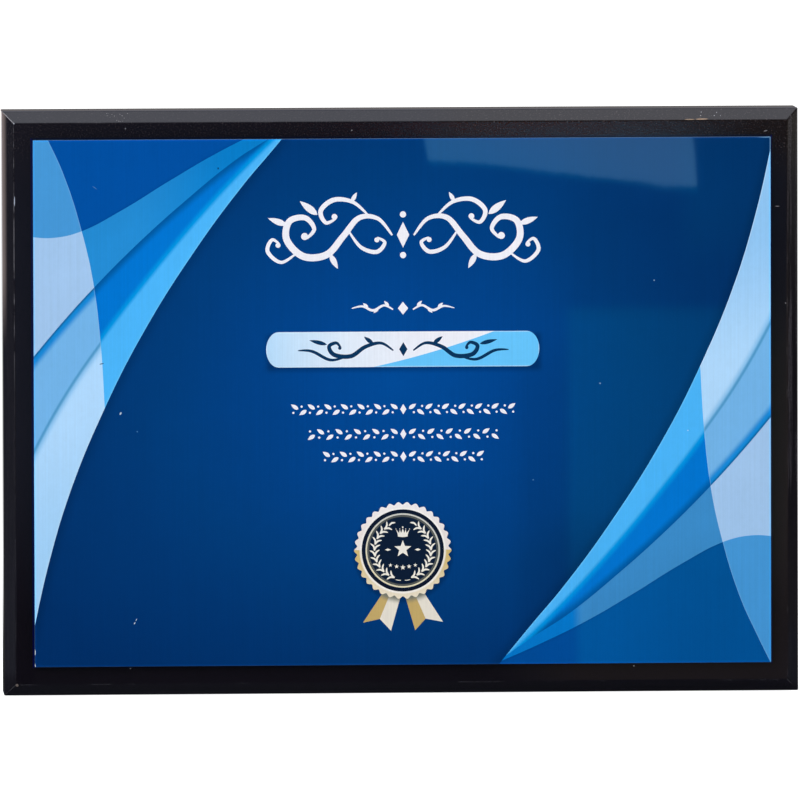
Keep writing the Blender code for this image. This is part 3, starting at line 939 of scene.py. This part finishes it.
def make_plate_mesh(sizes, shapes, inks):
    """The plate: its face parted by ink, its cut edge and its back."""
    edge, corner = sizes.edge_width / MM, sizes.corner / MM
    rings = [plate_outline(inset, corner) for inset in (edge, 0.0, 0.0, edge)]
    depths = (
        PLATE_LOW.y,
        PLATE_LOW.y + sizes.edge_drop,
        PLATE_HIGH.y - sizes.edge_drop,
        PLATE_HIGH.y,
    )
    count = len(rings[0])
    points, faces = [], []
    for outline in (rings[0], *(outline for _, outline in shapes)):
        faces.append(list(range(len(points), len(points) + len(outline))))
        points.extend(Vector(point) for point in outline)
    parted = delaunay_2d_cdt(points, [], faces, 1, 1e-5, True)
    flat, _, triangles, from_points, _, from_faces = parted

    def world(point, y):
        return PLATE_MIDDLE.x + point[0] * MM, y, PLATE_MIDDLE.z + point[1] * MM

    new = {source: i for i, sources in enumerate(from_points) for source in sources}
    work = bmesh.new()
    face_verts = [work.verts.new(world(point, depths[0])) for point in flat]
    for triangle, sources in zip(triangles, from_faces):
        top = max(sources)
        a, b, c = (flat[i] for i in triangle)
        turns_left = (b - a).x * (c - a).y - (b - a).y * (c - a).x > 0
        order = triangle if turns_left else triangle[::-1]
        face = work.faces.new([face_verts[i] for i in order])
        face.material_index = inks.index(shapes[top - 1][0] if top else "field")
    edge_ink = inks.index("edge")
    last = [face_verts[new[i]] for i in range(count)]
    for ring, y in zip(rings[1:], depths[1:]):
        verts = [work.verts.new(world(point, y)) for point in ring]
        for i in range(count):
            face = work.faces.new((last[i - 1], verts[i - 1], verts[i], last[i]))
            face.material_index = edge_ink
        last = verts
    work.faces.new(last[::-1]).material_index = edge_ink
    return finished_mesh(work, "print_plate_face")


# Other finishes


def lacquer(sizes, colours):
    """Black satin lacquer with fine grain, rubbed ridges, chips and dust, and painted light."""
    material, tree, place = new_material("black_lacquer")
    x, y, z = tree.split(place)
    u, v = x / MM, (z - BOARD_MIDDLE.z) / MM
    in_x = (BOARD_HALF.x - abs(x)) / MM
    in_z = (BOARD_HALF.z - abs(z - BOARD_MIDDLE.z)) / MM
    deep = (y - BOARD_LOW.y) / MM
    chamfer = sizes.chamfer / MM
    inset = in_x.least(in_z)

    grain = tree.noise(place, 2600.0, 3.0, 0.6)
    peel = tree.noise(place, 240.0, 2.0, 0.5)
    cloud = tree.noise(place, 26.0, 3.0, 0.6)
    rub = tree.noise(place, 130.0, 4.0, 0.7)

    # Rubbed ridges round the front face, round the rim and up each mitre, and painted highlights
    # Painted highlight along the left ridge, broken up and stronger higher up
    left_ridge_glint = inset.near(chamfer, 0.03, 0.15) * (deep < 0.5)
    left_ridge_glint = left_ridge_glint * (u < 0.0) * (in_x < in_z) * rub.ease(0.40, 0.60)
    left_ridge_glint = left_ridge_glint * v.ease(0.0, 25.0, 0.1, 1.0)
    ridge = inset.near(chamfer, 0.05, 0.22) * (deep < 0.5) * rub.ease(0.50, 0.72)
    rim = deep.near(chamfer, 0.05, 0.3) * (inset < 0.3) * rub.ease(0.55, 0.75)
    shallow = deep < chamfer + 0.3
    mitre = in_x.near(in_z, 0.02, 0.24) * (inset < chamfer + 0.1) * shallow
    # Painted highlights up the two upper mitres
    left_mitre_glint = in_x.near(in_z, 0.02, 0.19) * (inset < chamfer) * shallow
    left_mitre_glint = left_mitre_glint * (u < 0.0) * (v > 0.0) * rub.ease(0.28, 0.42)
    right_mitre_glint = mitre * (u > 0.0) * (v > 0.0)
    mitre = mitre * rub.ease(0.40, 0.65)
    # Wear and painted highlights together, laid on as one pale grey
    wear_and_glint = (ridge * 0.06).most(rim * 0.12).most(mitre * 0.25).most(left_ridge_glint * 0.3)
    wear_and_glint = wear_and_glint.most(left_mitre_glint * 0.8).most(right_mitre_glint * 0.6)

    # A painted reflection along the upper left outer edge, coarse grain along the top, and dust
    front = deep < chamfer + 0.4
    left_edge_reflection = in_x.ease(1.35, 0.25) * (in_x < in_z) * (u < 0.0) * front
    top = v.ease(52.0, 66.0) * front
    top_right = top * u.ease(3.0, 18.0)
    coarse = grain.ease(0.50, 0.74) * (0.03 + top * 0.11)
    coarse = coarse.most(grain.ease(0.57, 0.70) * top_right * 0.32)
    dust = tree.specks(place, 95.0, 0.00013, 0.14)
    dust = dust.most(tree.specks(place, 300.0, 0.00007, 0.15) * 0.5)
    crumbs = tree.specks(place, 2200.0, 0.00013, 0.7)
    patch = (abs(u + 68.2) < 2.6) * (abs(v - 68.9) < 1.0)
    dust = dust.most(crumbs * patch * front)
    base = tree.cover(
        tree.scale(colours.lacquer, 0.62 + cloud * 0.5),
        (wear_and_glint, srgb(160, 160, 168)),
        (left_edge_reflection * v.ease(12.0, 34.0), srgb(114, 103, 101)),
        (top_right, srgb(16, 8, 5)),
        (coarse, srgb(116, 105, 106)),
        (dust * 0.55, srgb(176, 174, 176)),
    )
    base = add_marks(tree, base, u, v, BOARD_MARKS, front)

    # A painted shadow, tinted navy, on the lacquer right beside the plate
    beyond_x = (abs(x - PLATE_MIDDLE.x) - PLATE_SIZE.x / 2) / MM
    beyond_z = (abs(z - PLATE_MIDDLE.z) - PLATE_SIZE.z / 2) / MM
    blue = tree.mix(beyond_x > beyond_z, srgb(0, 6, 32), srgb(0, 6, 66))
    beside = beyond_x.most(beyond_z).ease(0.47, 0.35) * front

    # Streaks that the cutter left along the side chamfers, and painted sheen on the right one
    side = front * (deep > 0.15) * (in_x < in_z)
    streak = tree.noise(place, 1.0, 3.0, 0.6, stretch=(2600.0, 2600.0, 60.0))
    lane = in_x.ease(1.3, 1.9).most(in_x.ease(0.8, 0.4) * 0.6)
    streak = streak.ease(0.42, 0.68) * grain.ease(0.22, 0.60)
    # Painted sheen on the right chamfer, by its ridge and outer edge, none low down, less at the
    # top
    lit = v.ease(-26.0, -14.0) * 0.42 - v.ease(35.0, 60.0) * 0.10
    streak_and_sheen = 0.03 + (u > 0.0) * lane * lit

    # Thin rolled paint on the back, with the board's fibres under it and rub marks
    back = (y > BOARD_HIGH.y - 0.0001) * 1.0
    fibres = tree.noise(place, 1.0, 4.0, 0.7, stretch=(900.0, 900.0, 260.0))
    rolled = tree.noise(place, 420.0, 3.0, 0.6)
    thin = fibres.ease(0.52, 0.80) * 0.5 + cloud.ease(0.5, 0.75) * 0.35
    rear = tree.mix(thin, srgb(25, 25, 27), srgb(62, 56, 50))
    scratch = tree.noise(place, 1.0, 2.0, 0.5, stretch=(60.0, 60.0, 1400.0))
    scratch = scratch.ease(0.68, 0.74) * rub.ease(0.5, 0.65)
    rear = tree.mix(scratch * 0.5, rear, srgb(92, 88, 84))
    streaks = (side * streak * streak_and_sheen, srgb(104, 100, 108))
    base = tree.cover(base, (beside, blue), streaks, (back, rear))
    tree.surface(
        base,
        0.04 + cloud * 0.02 + wear_and_glint * 0.2 + dust * 0.3 + back * (0.41 + rolled * 0.2),
        bump=(grain * 0.6 + peel * 0.8 + back * rolled * 6.0, 0.000004),
        IOR=1.5,
    )
    return material


def foam(colours):
    """White foam tape with fine open cells."""
    material, tree, place = new_material("foam_tape")
    cells = tree.noise(place, 2600.0, 2.0, 0.6)
    tone = tree.noise(place, 60.0, 2.0, 0.5)
    base = tree.mix(cells.ease(0.35, 0.7), tree.scale(colours.tape, 0.8), colours.tape)
    base = tree.scale(base, 0.92 + tone * 0.12)
    tree.surface(base, 0.75 + cells * 0.15, bump=(cells, 0.00008))
    return material


def plated_steel(name, tint, along):
    """Plated steel with fine draw lines, stains and rubbed places."""
    material, tree, place = new_material(name)
    lines = tree.noise(place, 1.0, 3.0, 0.65, stretch=along)
    stain = tree.noise(place, 220.0, 4.0, 0.6)
    scuff = tree.noise(place, 900.0, 2.0, 0.5)
    base = tree.scale(tint, 0.82 + lines * 0.22)
    base = tree.mix(stain.ease(0.52, 0.8) * 0.5, base, srgb(112, 104, 92))
    rough = 0.20 + lines * 0.16 + stain.ease(0.5, 0.8) * 0.2 + scuff * 0.06
    tree.surface(base, rough, bump=(lines + scuff * 0.4, 0.000015), Metallic=1.0)
    return material


def soft_rubber(colours):
    """Black rubber with bloom and a fine moulded grain."""
    material, tree, place = new_material("black_rubber")
    grain = tree.noise(place, 2400.0, 3.0, 0.6)
    bloom = tree.noise(place, 260.0, 3.0, 0.6).ease(0.45, 0.8)
    base = tree.scale(colours.rubber, 0.8 + grain * 0.4)
    base = tree.mix(bloom * 0.25, base, srgb(70, 70, 70))
    dust = tree.specks(place, 900.0, 0.00004, 0.25)
    base = tree.mix(dust * 0.5, base, srgb(150, 148, 142))
    tree.surface(base, 0.62 + bloom * 0.2, bump=(grain, 0.00003))
    return material


# Making pieces


def own_settings(context):
    scene = context.scene
    return scene.plaque_sizes, scene.plaque_colours, scene.plaque_studio


def finished_mesh(work, name):
    """Turns the faces outward and keeps them as a mesh."""
    bmesh.ops.recalc_face_normals(work, faces=work.faces)
    mesh = bpy.data.meshes.new(name)
    work.to_mesh(mesh)
    work.free()
    return mesh


def put(name, mesh, materials, slot, *nodes):
    """Adds a finished mesh as a piece that stands for CAD nodes."""
    for material in materials:
        mesh.materials.append(material)
    piece = bpy.data.objects.new(name, mesh)
    bpy.context.scene.collection.objects.link(piece)
    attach(piece, BODY)
    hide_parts(*nodes)


def dress(node, material):
    """Gives a CAD node a finish in place of its own."""
    slots = frame["nodes"][node].data.materials
    for i in range(len(slots)):
        slots[i] = material


def middles(nodes):
    """Where the middles of nodes lie, across and up."""
    boxes = [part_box(node) for node in nodes]
    return [((low.x + high.x) / 2, (low.z + high.z) / 2) for low, high in boxes]


def new_group(name, inputs):
    """A Geometry Nodes group that takes points, numbers and a material.

    It gives the group's tree and its input node.
    """
    group = bpy.data.node_groups.new(name, "GeometryNodeTree")

    def socket(label, kind, way="INPUT"):
        kind = f"NodeSocket{kind}"
        return group.interface.new_socket(label, in_out=way, socket_type=kind)

    socket("Places", "Geometry")
    socket("Geometry", "Geometry", "OUTPUT")
    for label, default in inputs.items():
        kind = "Int" if isinstance(default, int) else "Float"
        socket(label, kind).default_value = default
    socket("Material", "Material")
    tree = Tree(group)
    return tree, tree.add("NodeGroupInput")


def finish_group(tree, given, part, rotation):
    """Puts the part on each place, makes it real and gives it its material."""
    places, material = tree.out(given, "Places"), tree.out(given, "Material")
    placed = tree.first(
        "GeometryNodeInstanceOnPoints", Points=places, Instance=part, Rotation=rotation
    )
    real = tree.first("GeometryNodeRealizeInstances", Geometry=placed)
    painted = tree.first("GeometryNodeSetMaterial", Geometry=real, Material=material)
    tree.add("NodeGroupOutput", Geometry=painted)
    return tree.tree


def grow(name, group, places, values):
    """Runs a Geometry Nodes group on places, and keeps its result as a smooth mesh."""
    seeds = bpy.data.meshes.new(f"{name}_places")
    seeds.from_pydata(places, [], [])
    carrier = bpy.data.objects.new(f"{name}_carrier", seeds)
    bpy.context.scene.collection.objects.link(carrier)
    modifier = carrier.modifiers.new(name, "NODES")
    modifier.node_group = group
    for item in group.interface.items_tree:
        if item.in_out == "INPUT" and item.name in values:
            modifier[item.identifier] = values[item.name]
    ready = carrier.evaluated_get(bpy.context.evaluated_depsgraph_get())
    mesh = bpy.data.meshes.new_from_object(ready)
    bpy.data.objects.remove(carrier)
    bpy.data.meshes.remove(seeds)
    mesh.name = name
    mesh.materials.clear()
    mesh.shade_smooth()
    mesh.set_sharp_from_angle(angle=CREASE)
    return mesh


def screw_group():
    """A countersunk screw with a driver cross and a thread, head up along Z."""
    inputs = {
        "Head Radius": 0.003,
        "Head Depth": 0.0013,
        "Rim": 0.0002,
        "Shank Radius": 0.0015,
        "Length": 0.010,
        "Tip": 0.0025,
        "Tip Radius": 0.0003,
        "Cross Width": 0.0007,
        "Cross Span": 0.0032,
        "Cross Depth": 0.001,
        "Thread": 0.0002,
        "Seed": 0,
    }
    tree, given = new_group("countersunk_screw", inputs)

    def take(label):
        return tree.out(given, label)

    def lift(part, height, turn=0.0):
        """A part moved up, and turned about Z."""
        offset = tree.first("ShaderNodeCombineXYZ", Z=height)
        about = (0.0, 0.0, turn)
        return tree.first(
            "GeometryNodeTransform", Geometry=part, Translation=offset, Rotation=about
        )

    def frustum(low_radius, high_radius, depth, base):
        """A slice of a cone that stands on the height base."""
        ends = {"Radius Bottom": low_radius, "Radius Top": high_radius}
        return lift(tree.first("GeometryNodeMeshCone", {}, ends, Vertices=48, Depth=depth), base)

    def bar(turn):
        """One of the two bars of the driver cross."""
        span, width, depth = (take(f"Cross {label}") for label in ("Span", "Width", "Depth"))
        size = tree.first("ShaderNodeCombineXYZ", X=span, Y=width, Z=depth * 2.0)
        return lift(tree.first("GeometryNodeMeshCube", Size=size), 0.0, turn)

    def combine(operation, **parts):
        settings = {"operation": operation, "solver": "EXACT"}
        return tree.first("GeometryNodeMeshBoolean", settings, **parts)

    overlap = 0.00005
    thread_gap = 0.0002
    radius, rim, shank, tip = map(take, ("Head Radius", "Rim", "Shank Radius", "Tip"))
    depth, reach = take("Head Depth"), take("Length")
    head_low = -(rim + depth)
    shank_low = tip - reach
    slices = [
        frustum(radius, radius, rim, -rim),
        frustum(shank, radius, depth + overlap, head_low),
        frustum(shank, shank, head_low - shank_low + overlap, shank_low),
        frustum(take("Tip Radius"), shank, tip + overlap, -reach),
    ]
    body = combine("UNION", Mesh_2=slices)
    cross = combine("UNION", Mesh_2=[bar(0.0), bar(math.pi / 2)])
    cut = combine("DIFFERENCE", Mesh_1=body, Mesh_2=cross)
    spiral = tree.first(
        "GeometryNodeCurveSpiral",
        Resolution=20,
        Rotations=6.0,
        Start_Radius=shank,
        End_Radius=shank,
        Height=head_low - shank_low - 2 * thread_gap,
    )
    ridge = tree.first("GeometryNodeCurvePrimitiveCircle", Resolution=4, Radius=take("Thread"))
    thread = tree.first(
        "GeometryNodeCurveToMesh", Curve=spiral, Profile_Curve=ridge, Fill_Caps=True
    )
    thread = lift(thread, shank_low + thread_gap)
    whole = tree.first("GeometryNodeJoinGeometry", Geometry=[cut, thread])
    limits = {2: 0.0, 3: math.pi / 2}
    turns = tree.add("FunctionNodeRandomValue", {"data_type": "FLOAT"}, limits, Seed=take("Seed"))
    spin = tree.first("ShaderNodeCombineXYZ", Z=tree.out(turns, 1))
    about = tree.first("FunctionNodeEulerToRotation", Euler=spin)
    wallward = tree.first("FunctionNodeEulerToRotation", Euler=WALLWARD)
    turned = tree.first(
        "FunctionNodeRotateRotation",
        {"rotation_space": "LOCAL"},
        Rotation=wallward,
        Rotate_By=about,
    )
    return finish_group(tree, given, whole, turned)


def bumper_group():
    """A low round bumper turned about Z, its foot on the place."""
    inputs = {"Radius": 0.005, "Height": 0.002, "Round": 0.0009}
    tree, given = new_group("round_bumper", inputs)
    radius, height, rounding = (tree.out(given, label) for label in inputs)
    shoulder = height - rounding
    handle = rounding * 0.45

    def point(across, up):
        return tree.first("ShaderNodeCombineXYZ", X=across, Y=-up)

    def line(start, end):
        return tree.first("GeometryNodeCurvePrimitiveLine", Start=start, End=end)

    bend = tree.first(
        "GeometryNodeCurvePrimitiveBezierSegment",
        Resolution=10,
        Start=point(-rounding, height),
        Start_Handle=point(-handle, height),
        End_Handle=point(0.0, height - handle),
        End=point(0.0, shoulder),
    )
    runs = [
        line(point(-radius, height), point(-rounding, height)),
        bend,
        line(point(0.0, shoulder), point(0.0, 0.0)),
        line(point(0.0, 0.0), point(-radius, 0.0)),
    ]
    profile = tree.first("GeometryNodeJoinGeometry", Geometry=runs)
    ring = tree.first("GeometryNodeCurvePrimitiveCircle", Resolution=64, Radius=radius)
    swept = tree.first("GeometryNodeCurveToMesh", Curve=ring, Profile_Curve=profile)
    merged = tree.first("GeometryNodeMergeByDistance", Geometry=swept, Distance=0.00001)
    wallward = tree.first("FunctionNodeEulerToRotation", Euler=WALLWARD)
    return finish_group(tree, given, merged, wallward)


def tape_mesh(name, low, high, wave):
    """A strip of tape with its long edges cut straight and its ends by hand."""
    long_x = high.x - low.x > high.z - low.z
    length_low, length_high = (low.x, high.x) if long_x else (low.z, high.z)
    width_low, width_high = (low.z, high.z) if long_x else (low.x, high.x)
    steps = 6

    def end(base, sign, phase):
        line = []
        for i in range(steps + 1):
            t = i / steps
            tear = wave * (0.5 + 0.5 * math.sin(phase + 5.1 * t)) * (0.4 + 0.6 * t)
            line.append((base + sign * tear, width_low + (width_high - width_low) * t))
        return line

    phase = low.x * 97.0 + low.z * 61.0
    outline = end(length_low, 1, phase) + end(length_high, -1, phase + 2.0)[::-1]
    work = bmesh.new()
    rings = []
    for y in (low.y, high.y):
        corners = [(a, y, b) if long_x else (b, y, a) for a, b in outline]
        rings.append([work.verts.new(corner) for corner in corners])
    front, back = rings
    work.faces.new(front)
    work.faces.new(back[::-1])
    for i in range(len(outline)):
        work.faces.new((front[i - 1], back[i - 1], back[i], front[i]))
    return finished_mesh(work, name)


# Operators


class PLAQUE_OT_board(bpy.types.Operator):
    """Lacquers the board"""

    bl_idname = "plaque.board"
    bl_label = "Board"

    def execute(self, context):
        sizes, colours, _ = own_settings(context)
        dress("plaque_board", lacquer(sizes, colours))
        return {"FINISHED"}


class PLAQUE_OT_plate(bpy.types.Operator):
    """Prints the plate"""

    bl_idname = "plaque.plate"
    bl_label = "Printed plate"

    def execute(self, context):
        sizes, colours, _ = own_settings(context)
        thread = srgb(206, 205, 196), srgb(232, 222, 188), 0.4
        laurel = srgb(240, 236, 226), srgb(244, 238, 224)
        inks = {
            "field": printed("field_ink", field_ink, colours),
            "white": printed("white_ink", plain_ink, colours.white),
            "bar": printed("bar_ink", bar_ink),
            "bar_dark": printed("bar_ornament_ink", plain_ink, colours.bar_dark),
            "tail_gold": printed("tail_gold_ink", tail_ink, srgb(200, 172, 108)),
            "tail_cream": printed("tail_cream_ink", tail_ink, srgb(236, 229, 214)),
            "rosette": printed("rosette_ink", rosette_ink, colours),
            "line": printed("line_ink", plain_ink, *thread),
            "seal": printed("seal_ink", seal_ink, colours),
            "wreath": printed("wreath_ink", plain_ink, *laurel),
            "edge": cut_metal(colours),
        }
        shapes = []
        lay_scroll(shapes)
        lay_divider(shapes)
        Pen(shapes, "bar").lay(pill(BAR_LEFT, BAR_RIGHT, BAR_BOTTOM, BAR_TOP, 3.0))
        lay_bar_ornament(shapes)
        lay_leafy_rows(shapes)
        lay_seal(shapes)
        mesh = make_plate_mesh(sizes, shapes, list(inks))
        put("print_plate_printed", mesh, inks.values(), "plate", "print_plate")
        return {"FINISHED"}


class PLAQUE_OT_tapes(bpy.types.Operator):
    """Lays the tape strips between the plate and the board"""

    bl_idname = "plaque.tapes"
    bl_label = "Tapes"

    def execute(self, context):
        sizes, colours, _ = own_settings(context)
        material = foam(colours)
        for node in TAPES:
            low, high = (corner.copy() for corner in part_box(node))
            low.y = PLATE_HIGH.y + sizes.tape_relief
            high.y = BOARD_LOW.y - sizes.tape_relief
            name = f"{node}_strip"
            put(name, tape_mesh(name, low, high, sizes.tape_wave), [material], "tape", node)
        return {"FINISHED"}


class PLAQUE_OT_hangers(bpy.types.Operator):
    """Plates the two keyhole hangers"""

    bl_idname = "plaque.hangers"
    bl_label = "Keyhole hangers"

    def execute(self, context):
        _, colours, _ = own_settings(context)
        stretches = ((3500.0, 300.0, 90.0), (90.0, 300.0, 3500.0))
        for node, along in zip(HANGERS, stretches):
            dress(node, plated_steel(f"{node}_nickel", colours.nickel, along))
        return {"FINISHED"}


class PLAQUE_OT_screws(bpy.types.Operator):
    """Turns the four hanger screws"""

    bl_idname = "plaque.screws"
    bl_label = "Screws"

    def execute(self, context):
        sizes, colours, studio = own_settings(context)
        low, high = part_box(SCREWS[0])
        places = [(x, high.y, z) for x, z in middles(SCREWS)]
        material = plated_steel("zinc_screw", colours.zinc, (900.0, 900.0, 900.0))
        values = {
            "Head Radius": (high.x - low.x) / 2,
            "Head Depth": sizes.screw_head - sizes.screw_rim,
            "Rim": sizes.screw_rim,
            "Length": high.y - low.y,
            "Tip": sizes.screw_tip,
            "Cross Width": sizes.cross_width,
            "Cross Span": sizes.cross_span,
            "Cross Depth": sizes.cross_depth,
            "Seed": studio.seed,
            "Material": material,
        }
        mesh = grow("hanger_screws", screw_group(), places, values)
        put("hanger_screws", mesh, [material], "screw", *SCREWS)
        return {"FINISHED"}


class PLAQUE_OT_bumpers(bpy.types.Operator):
    """Sticks on the four rubber bumpers"""

    bl_idname = "plaque.bumpers"
    bl_label = "Bumpers"

    def execute(self, context):
        sizes, colours, _ = own_settings(context)
        low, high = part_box(BUMPERS[0])
        foot = BOARD_HIGH.y + sizes.bumper_gap
        places = [(x, foot, z) for x, z in middles(BUMPERS)]
        material = soft_rubber(colours)
        values = {
            "Radius": (high.x - low.x) / 2,
            "Height": high.y - foot,
            "Round": sizes.bumper_round,
            "Material": material,
        }
        mesh = grow("back_bumpers", bumper_group(), places, values)
        put("back_bumpers", mesh, [material], "bumper", *BUMPERS)
        return {"FINISHED"}


class PLAQUE_OT_stage(bpy.types.Operator):
    """Sets the floor, the light and the camera"""

    bl_idname = "plaque.stage"
    bl_label = "Studio"

    def execute(self, context):
        _, colours, studio = own_settings(context)
        self.floor(context, colours, studio)
        self.world(context, studio)
        self.lamps(context, studio)
        self.camera(context, studio)
        context.scene.view_settings.view_transform = "Standard"
        return {"FINISHED"}

    def floor(self, context, colours, studio):
        """A flat floor, pale to the camera, and lit in zones that gloss mirrors."""
        reach = 8.0
        height = CAD_LOW.z
        corners = [(-reach, -reach), (reach, -reach), (reach, reach), (-reach, reach)]
        mesh = bpy.data.meshes.new("studio_floor")
        mesh.from_pydata([(x, y, height) for x, y in corners], [], [(0, 1, 2, 3)])
        material, tree, place = new_material("studio_floor")
        mesh.materials.append(material)
        x, y, _ = tree.split(place)
        seen, mirrored = tree.rays()
        lead = -y
        far = y.ease(0.08, 0.5)
        dim = lead.ease(0.06, 0.6) * studio.dim
        aside = (-x).ease(0.13, 0.18) * (y > -0.5) * (y < 0.1) * 0.115
        beside = x.ease(0.10, 0.14) * x.ease(0.8, 0.3) * (lead < 0.02) * 0.045
        under = (lead > 0.0) * lead.ease(0.035, 0.025) * x.ease(0.09, -0.05, 0.01, 0.035)
        foot = lead.ease(0.11, 0.09) * 0.025
        glow = dim + far * 0.9 + aside + beside + under + foot + 0.01

        # The print sees the floor between these lines, and the board the rest of it
        left_line = lead * 0.02705 - 0.0892
        inner = (lead > 0.108) * (lead < 3.03)
        inner = inner * (x < lead * 0.0782 + 0.0877) * (x > left_line)
        tint = tree.mix(inner, (0.85, 1.0, 1.3), (0.05, 0.6, 1.2))
        tint = tree.mix(y > 0.0, tint, (1.0, 1.0, 1.0))
        left = (x < left_line) * (x > -0.13) * (lead > 0.035)

        # A dim card on the right, and warm light on the board beside the print
        card = (x + y * 0.0641).ease(0.0362, 0.0408) * y.ease(-1.72, -1.58) * inner
        tint = tree.mix(card, tint, (0.05, 1.0, 0.65))
        glow = glow + card * 0.02
        warm = x.ease(0.02, 0.05) * lead.ease(1.9, 1.2) * (lead > 0.035) * (1.0 - inner)

        # A lit panel further off, which the top of the print shows
        near = x.ease(0.155, 0.262, -2.800, -2.541)
        ragged = tree.noise(place, 1.0, 2.0, 0.6, stretch=(700.0, 35.0, 1.0))
        beyond = near - y + (ragged - 0.5) * 0.09
        sides = (x + y * 0.0497).ease(0.0171, 0.0192)
        sides = sides * (0.0798 - (x + y * 0.0692)).ease(-0.0005, 0.0005)
        fringe = beyond.ease(-0.08, -0.02) * sides
        panel = beyond.ease(-0.02, 0.02) * sides
        screen = tree.mix(x.ease(0.15, 0.26), (0.40, 1.56, 2.46), (0.58, 1.60, 2.54))

        # Past the print the board shows the same panel, more softly
        upper = lead.ease(3.02, 3.06)
        shelf = x.ease(0.172, 0.197) * x.ease(0.336, 0.276)
        hue = tree.mix(shelf, (1.0, 0.90, 1.1), (1.50, 0.22, 0.0))

        # Each zone over those before it: mask, tint and glow
        zones = (
            (left, (0.55, 0.68, 1.0), lead.ease(0.2, 1.0) * 0.235 + 0.02),
            (warm, (1.15, 0.95, 0.78), 0.14 + lead.ease(0.2, 0.6) * 0.12),
            (fringe, (0.0, 1.4, 2.2), 0.28),
            (panel, screen, 1.0),
            (upper, hue, 0.11 + shelf * 0.36),
        )
        for mask, zone_tint, zone_glow in zones:
            tint = tree.mix(mask, tint, zone_tint)
            glow = tree.pick(mask, glow, zone_glow)
        tint = tree.mix(mirrored, (1.0, 1.0, 1.0), tint)
        glow = tree.pick(mirrored, seen * 0.72, glow)
        tone = tree.noise(place, 3.0, 2.0, 0.5)
        base = tree.scale(tuple(colours.floor), 0.98 + tone * 0.02)
        matt = tree.first("ShaderNodeBsdfDiffuse", Color=base)
        dark = tree.first("ShaderNodeBsdfDiffuse", Color=(0.02, 0.02, 0.02, 1.0))
        plain = tree.first("ShaderNodeMixShader", {}, {0: mirrored, 1: matt, 2: dark})
        light = tree.first("ShaderNodeEmission", Color=tint, Strength=glow)
        both = tree.first("ShaderNodeAddShader", {}, {0: plain, 1: light})
        tree.add("ShaderNodeOutputMaterial", Surface=both)
        floor = bpy.data.objects.new("studio_floor", mesh)
        context.scene.collection.objects.link(floor)

    def world(self, context, studio):
        """White to the camera, and to gloss behind and above the plaque."""
        world = bpy.data.worlds.new("studio")
        world.use_nodes = True
        world.node_tree.nodes.clear()
        context.scene.world = world
        tree = Tree(world.node_tree)
        direction = tree.out(tree.add("ShaderNodeTexCoord"), "Generated")
        _, y, z = tree.split(direction)
        seen, mirrored = tree.rays()
        behind = y.ease(0.1, 0.5)
        above = z.ease(0.45, 0.85)
        gloss = (above * 0.62).most(behind * (0.17 + z.ease(0.2, 0.55) * 0.75))
        gloss = gloss.most(studio.dim)
        rest = (1.0 - seen) * (1.0 - mirrored) * studio.ambient
        strength = seen + mirrored * gloss + rest
        hue = tree.mix(z.ease(0.06, 0.3), (1.0, 0.94, 0.95), (0.84, 0.88, 1.08))
        tint = tree.mix(mirrored, (1.0, 1.0, 1.0), hue)
        sky = tree.first("ShaderNodeBackground", Color=tint, Strength=strength)
        tree.add("ShaderNodeOutputWorld", Surface=sky)

    def lamps(self, context, studio):
        """Two large soft lamps."""
        middle = Vector((0.0, 0.0, BOARD_MIDDLE.z))
        white, cool = (1.0, 1.0, 1.0), (0.88, 0.91, 1.0)
        lamps = (
            ("front_lamp", studio.front, white, (-1.5, -1.8, 1.3), (1.6, 1.2)),
            ("overhead_lamp", studio.overhead, cool, (0.1, -0.25, 1.1), (1.2, 0.8)),
        )
        for name, power, tint, place, size in lamps:
            light = bpy.data.lights.new(name, "AREA")
            light.shape = "RECTANGLE"
            light.size, light.size_y = size
            light.energy = power
            light.color = tint
            lamp = bpy.data.objects.new(name, light)
            lamp.location = place
            lamp.rotation_mode = "QUATERNION"
            lamp.rotation_quaternion = (middle - lamp.location).to_track_quat("-Z", "Y")
            lamp.visible_camera = False
            context.scene.collection.objects.link(lamp)

    def camera(self, context, studio):
        """A long lens, a little above and to the left of square on."""
        turn, rise = studio.azimuth, studio.elevation
        level = math.cos(rise)
        back = Vector((math.sin(turn) * level, -math.cos(turn) * level, math.sin(rise)))
        aim = Vector((studio.aim_x, studio.aim_y, studio.aim_z))
        data = bpy.data.cameras.new("camera")
        data.lens = studio.lens
        data.clip_start = 0.05
        data.clip_end = 50.0
        camera = bpy.data.objects.new("camera", data)
        camera.location = aim + back * studio.distance
        camera.rotation_mode = "QUATERNION"
        roll = Quaternion((0.0, 0.0, 1.0), studio.roll)
        camera.rotation_quaternion = (-back).to_track_quat("-Z", "Y") @ roll
        context.scene.collection.objects.link(camera)
        context.scene.camera = camera


class PLAQUE_PT_panel(bpy.types.Panel):
    """Lists the steps that finish the plaque"""

    bl_idname = "PLAQUE_PT_panel"
    bl_label = "Plaque"
    bl_space_type = "VIEW_3D"
    bl_region_type = "UI"
    bl_category = "Plaque"

    def draw(self, context):
        for step in STEPS:
            self.layout.operator(step.bl_idname)


STEPS = (
    PLAQUE_OT_stage,
    PLAQUE_OT_board,
    PLAQUE_OT_plate,
    PLAQUE_OT_tapes,
    PLAQUE_OT_hangers,
    PLAQUE_OT_screws,
    PLAQUE_OT_bumpers,
)
GROUPS = {
    "plaque_sizes": PlaqueSizes,
    "plaque_colours": PlaqueColours,
    "plaque_studio": StudioSettings,
}


def register():
    for group in GROUPS.values():
        bpy.utils.register_class(group)
    for step in (*STEPS, PLAQUE_PT_panel):
        bpy.utils.register_class(step)
    for name, group in GROUPS.items():
        setattr(bpy.types.Scene, name, PointerProperty(type=group))


def unregister():
    for name in GROUPS:
        delattr(bpy.types.Scene, name)
    for step in (PLAQUE_PT_panel, *reversed(STEPS)):
        bpy.utils.unregister_class(step)
    for group in reversed(GROUPS.values()):
        bpy.utils.unregister_class(group)


def main():
    register()
    for step in STEPS:
        family, name = step.bl_idname.split(".")
        getattr(getattr(bpy.ops, family), name)()


if __name__ == "__main__":
    main()
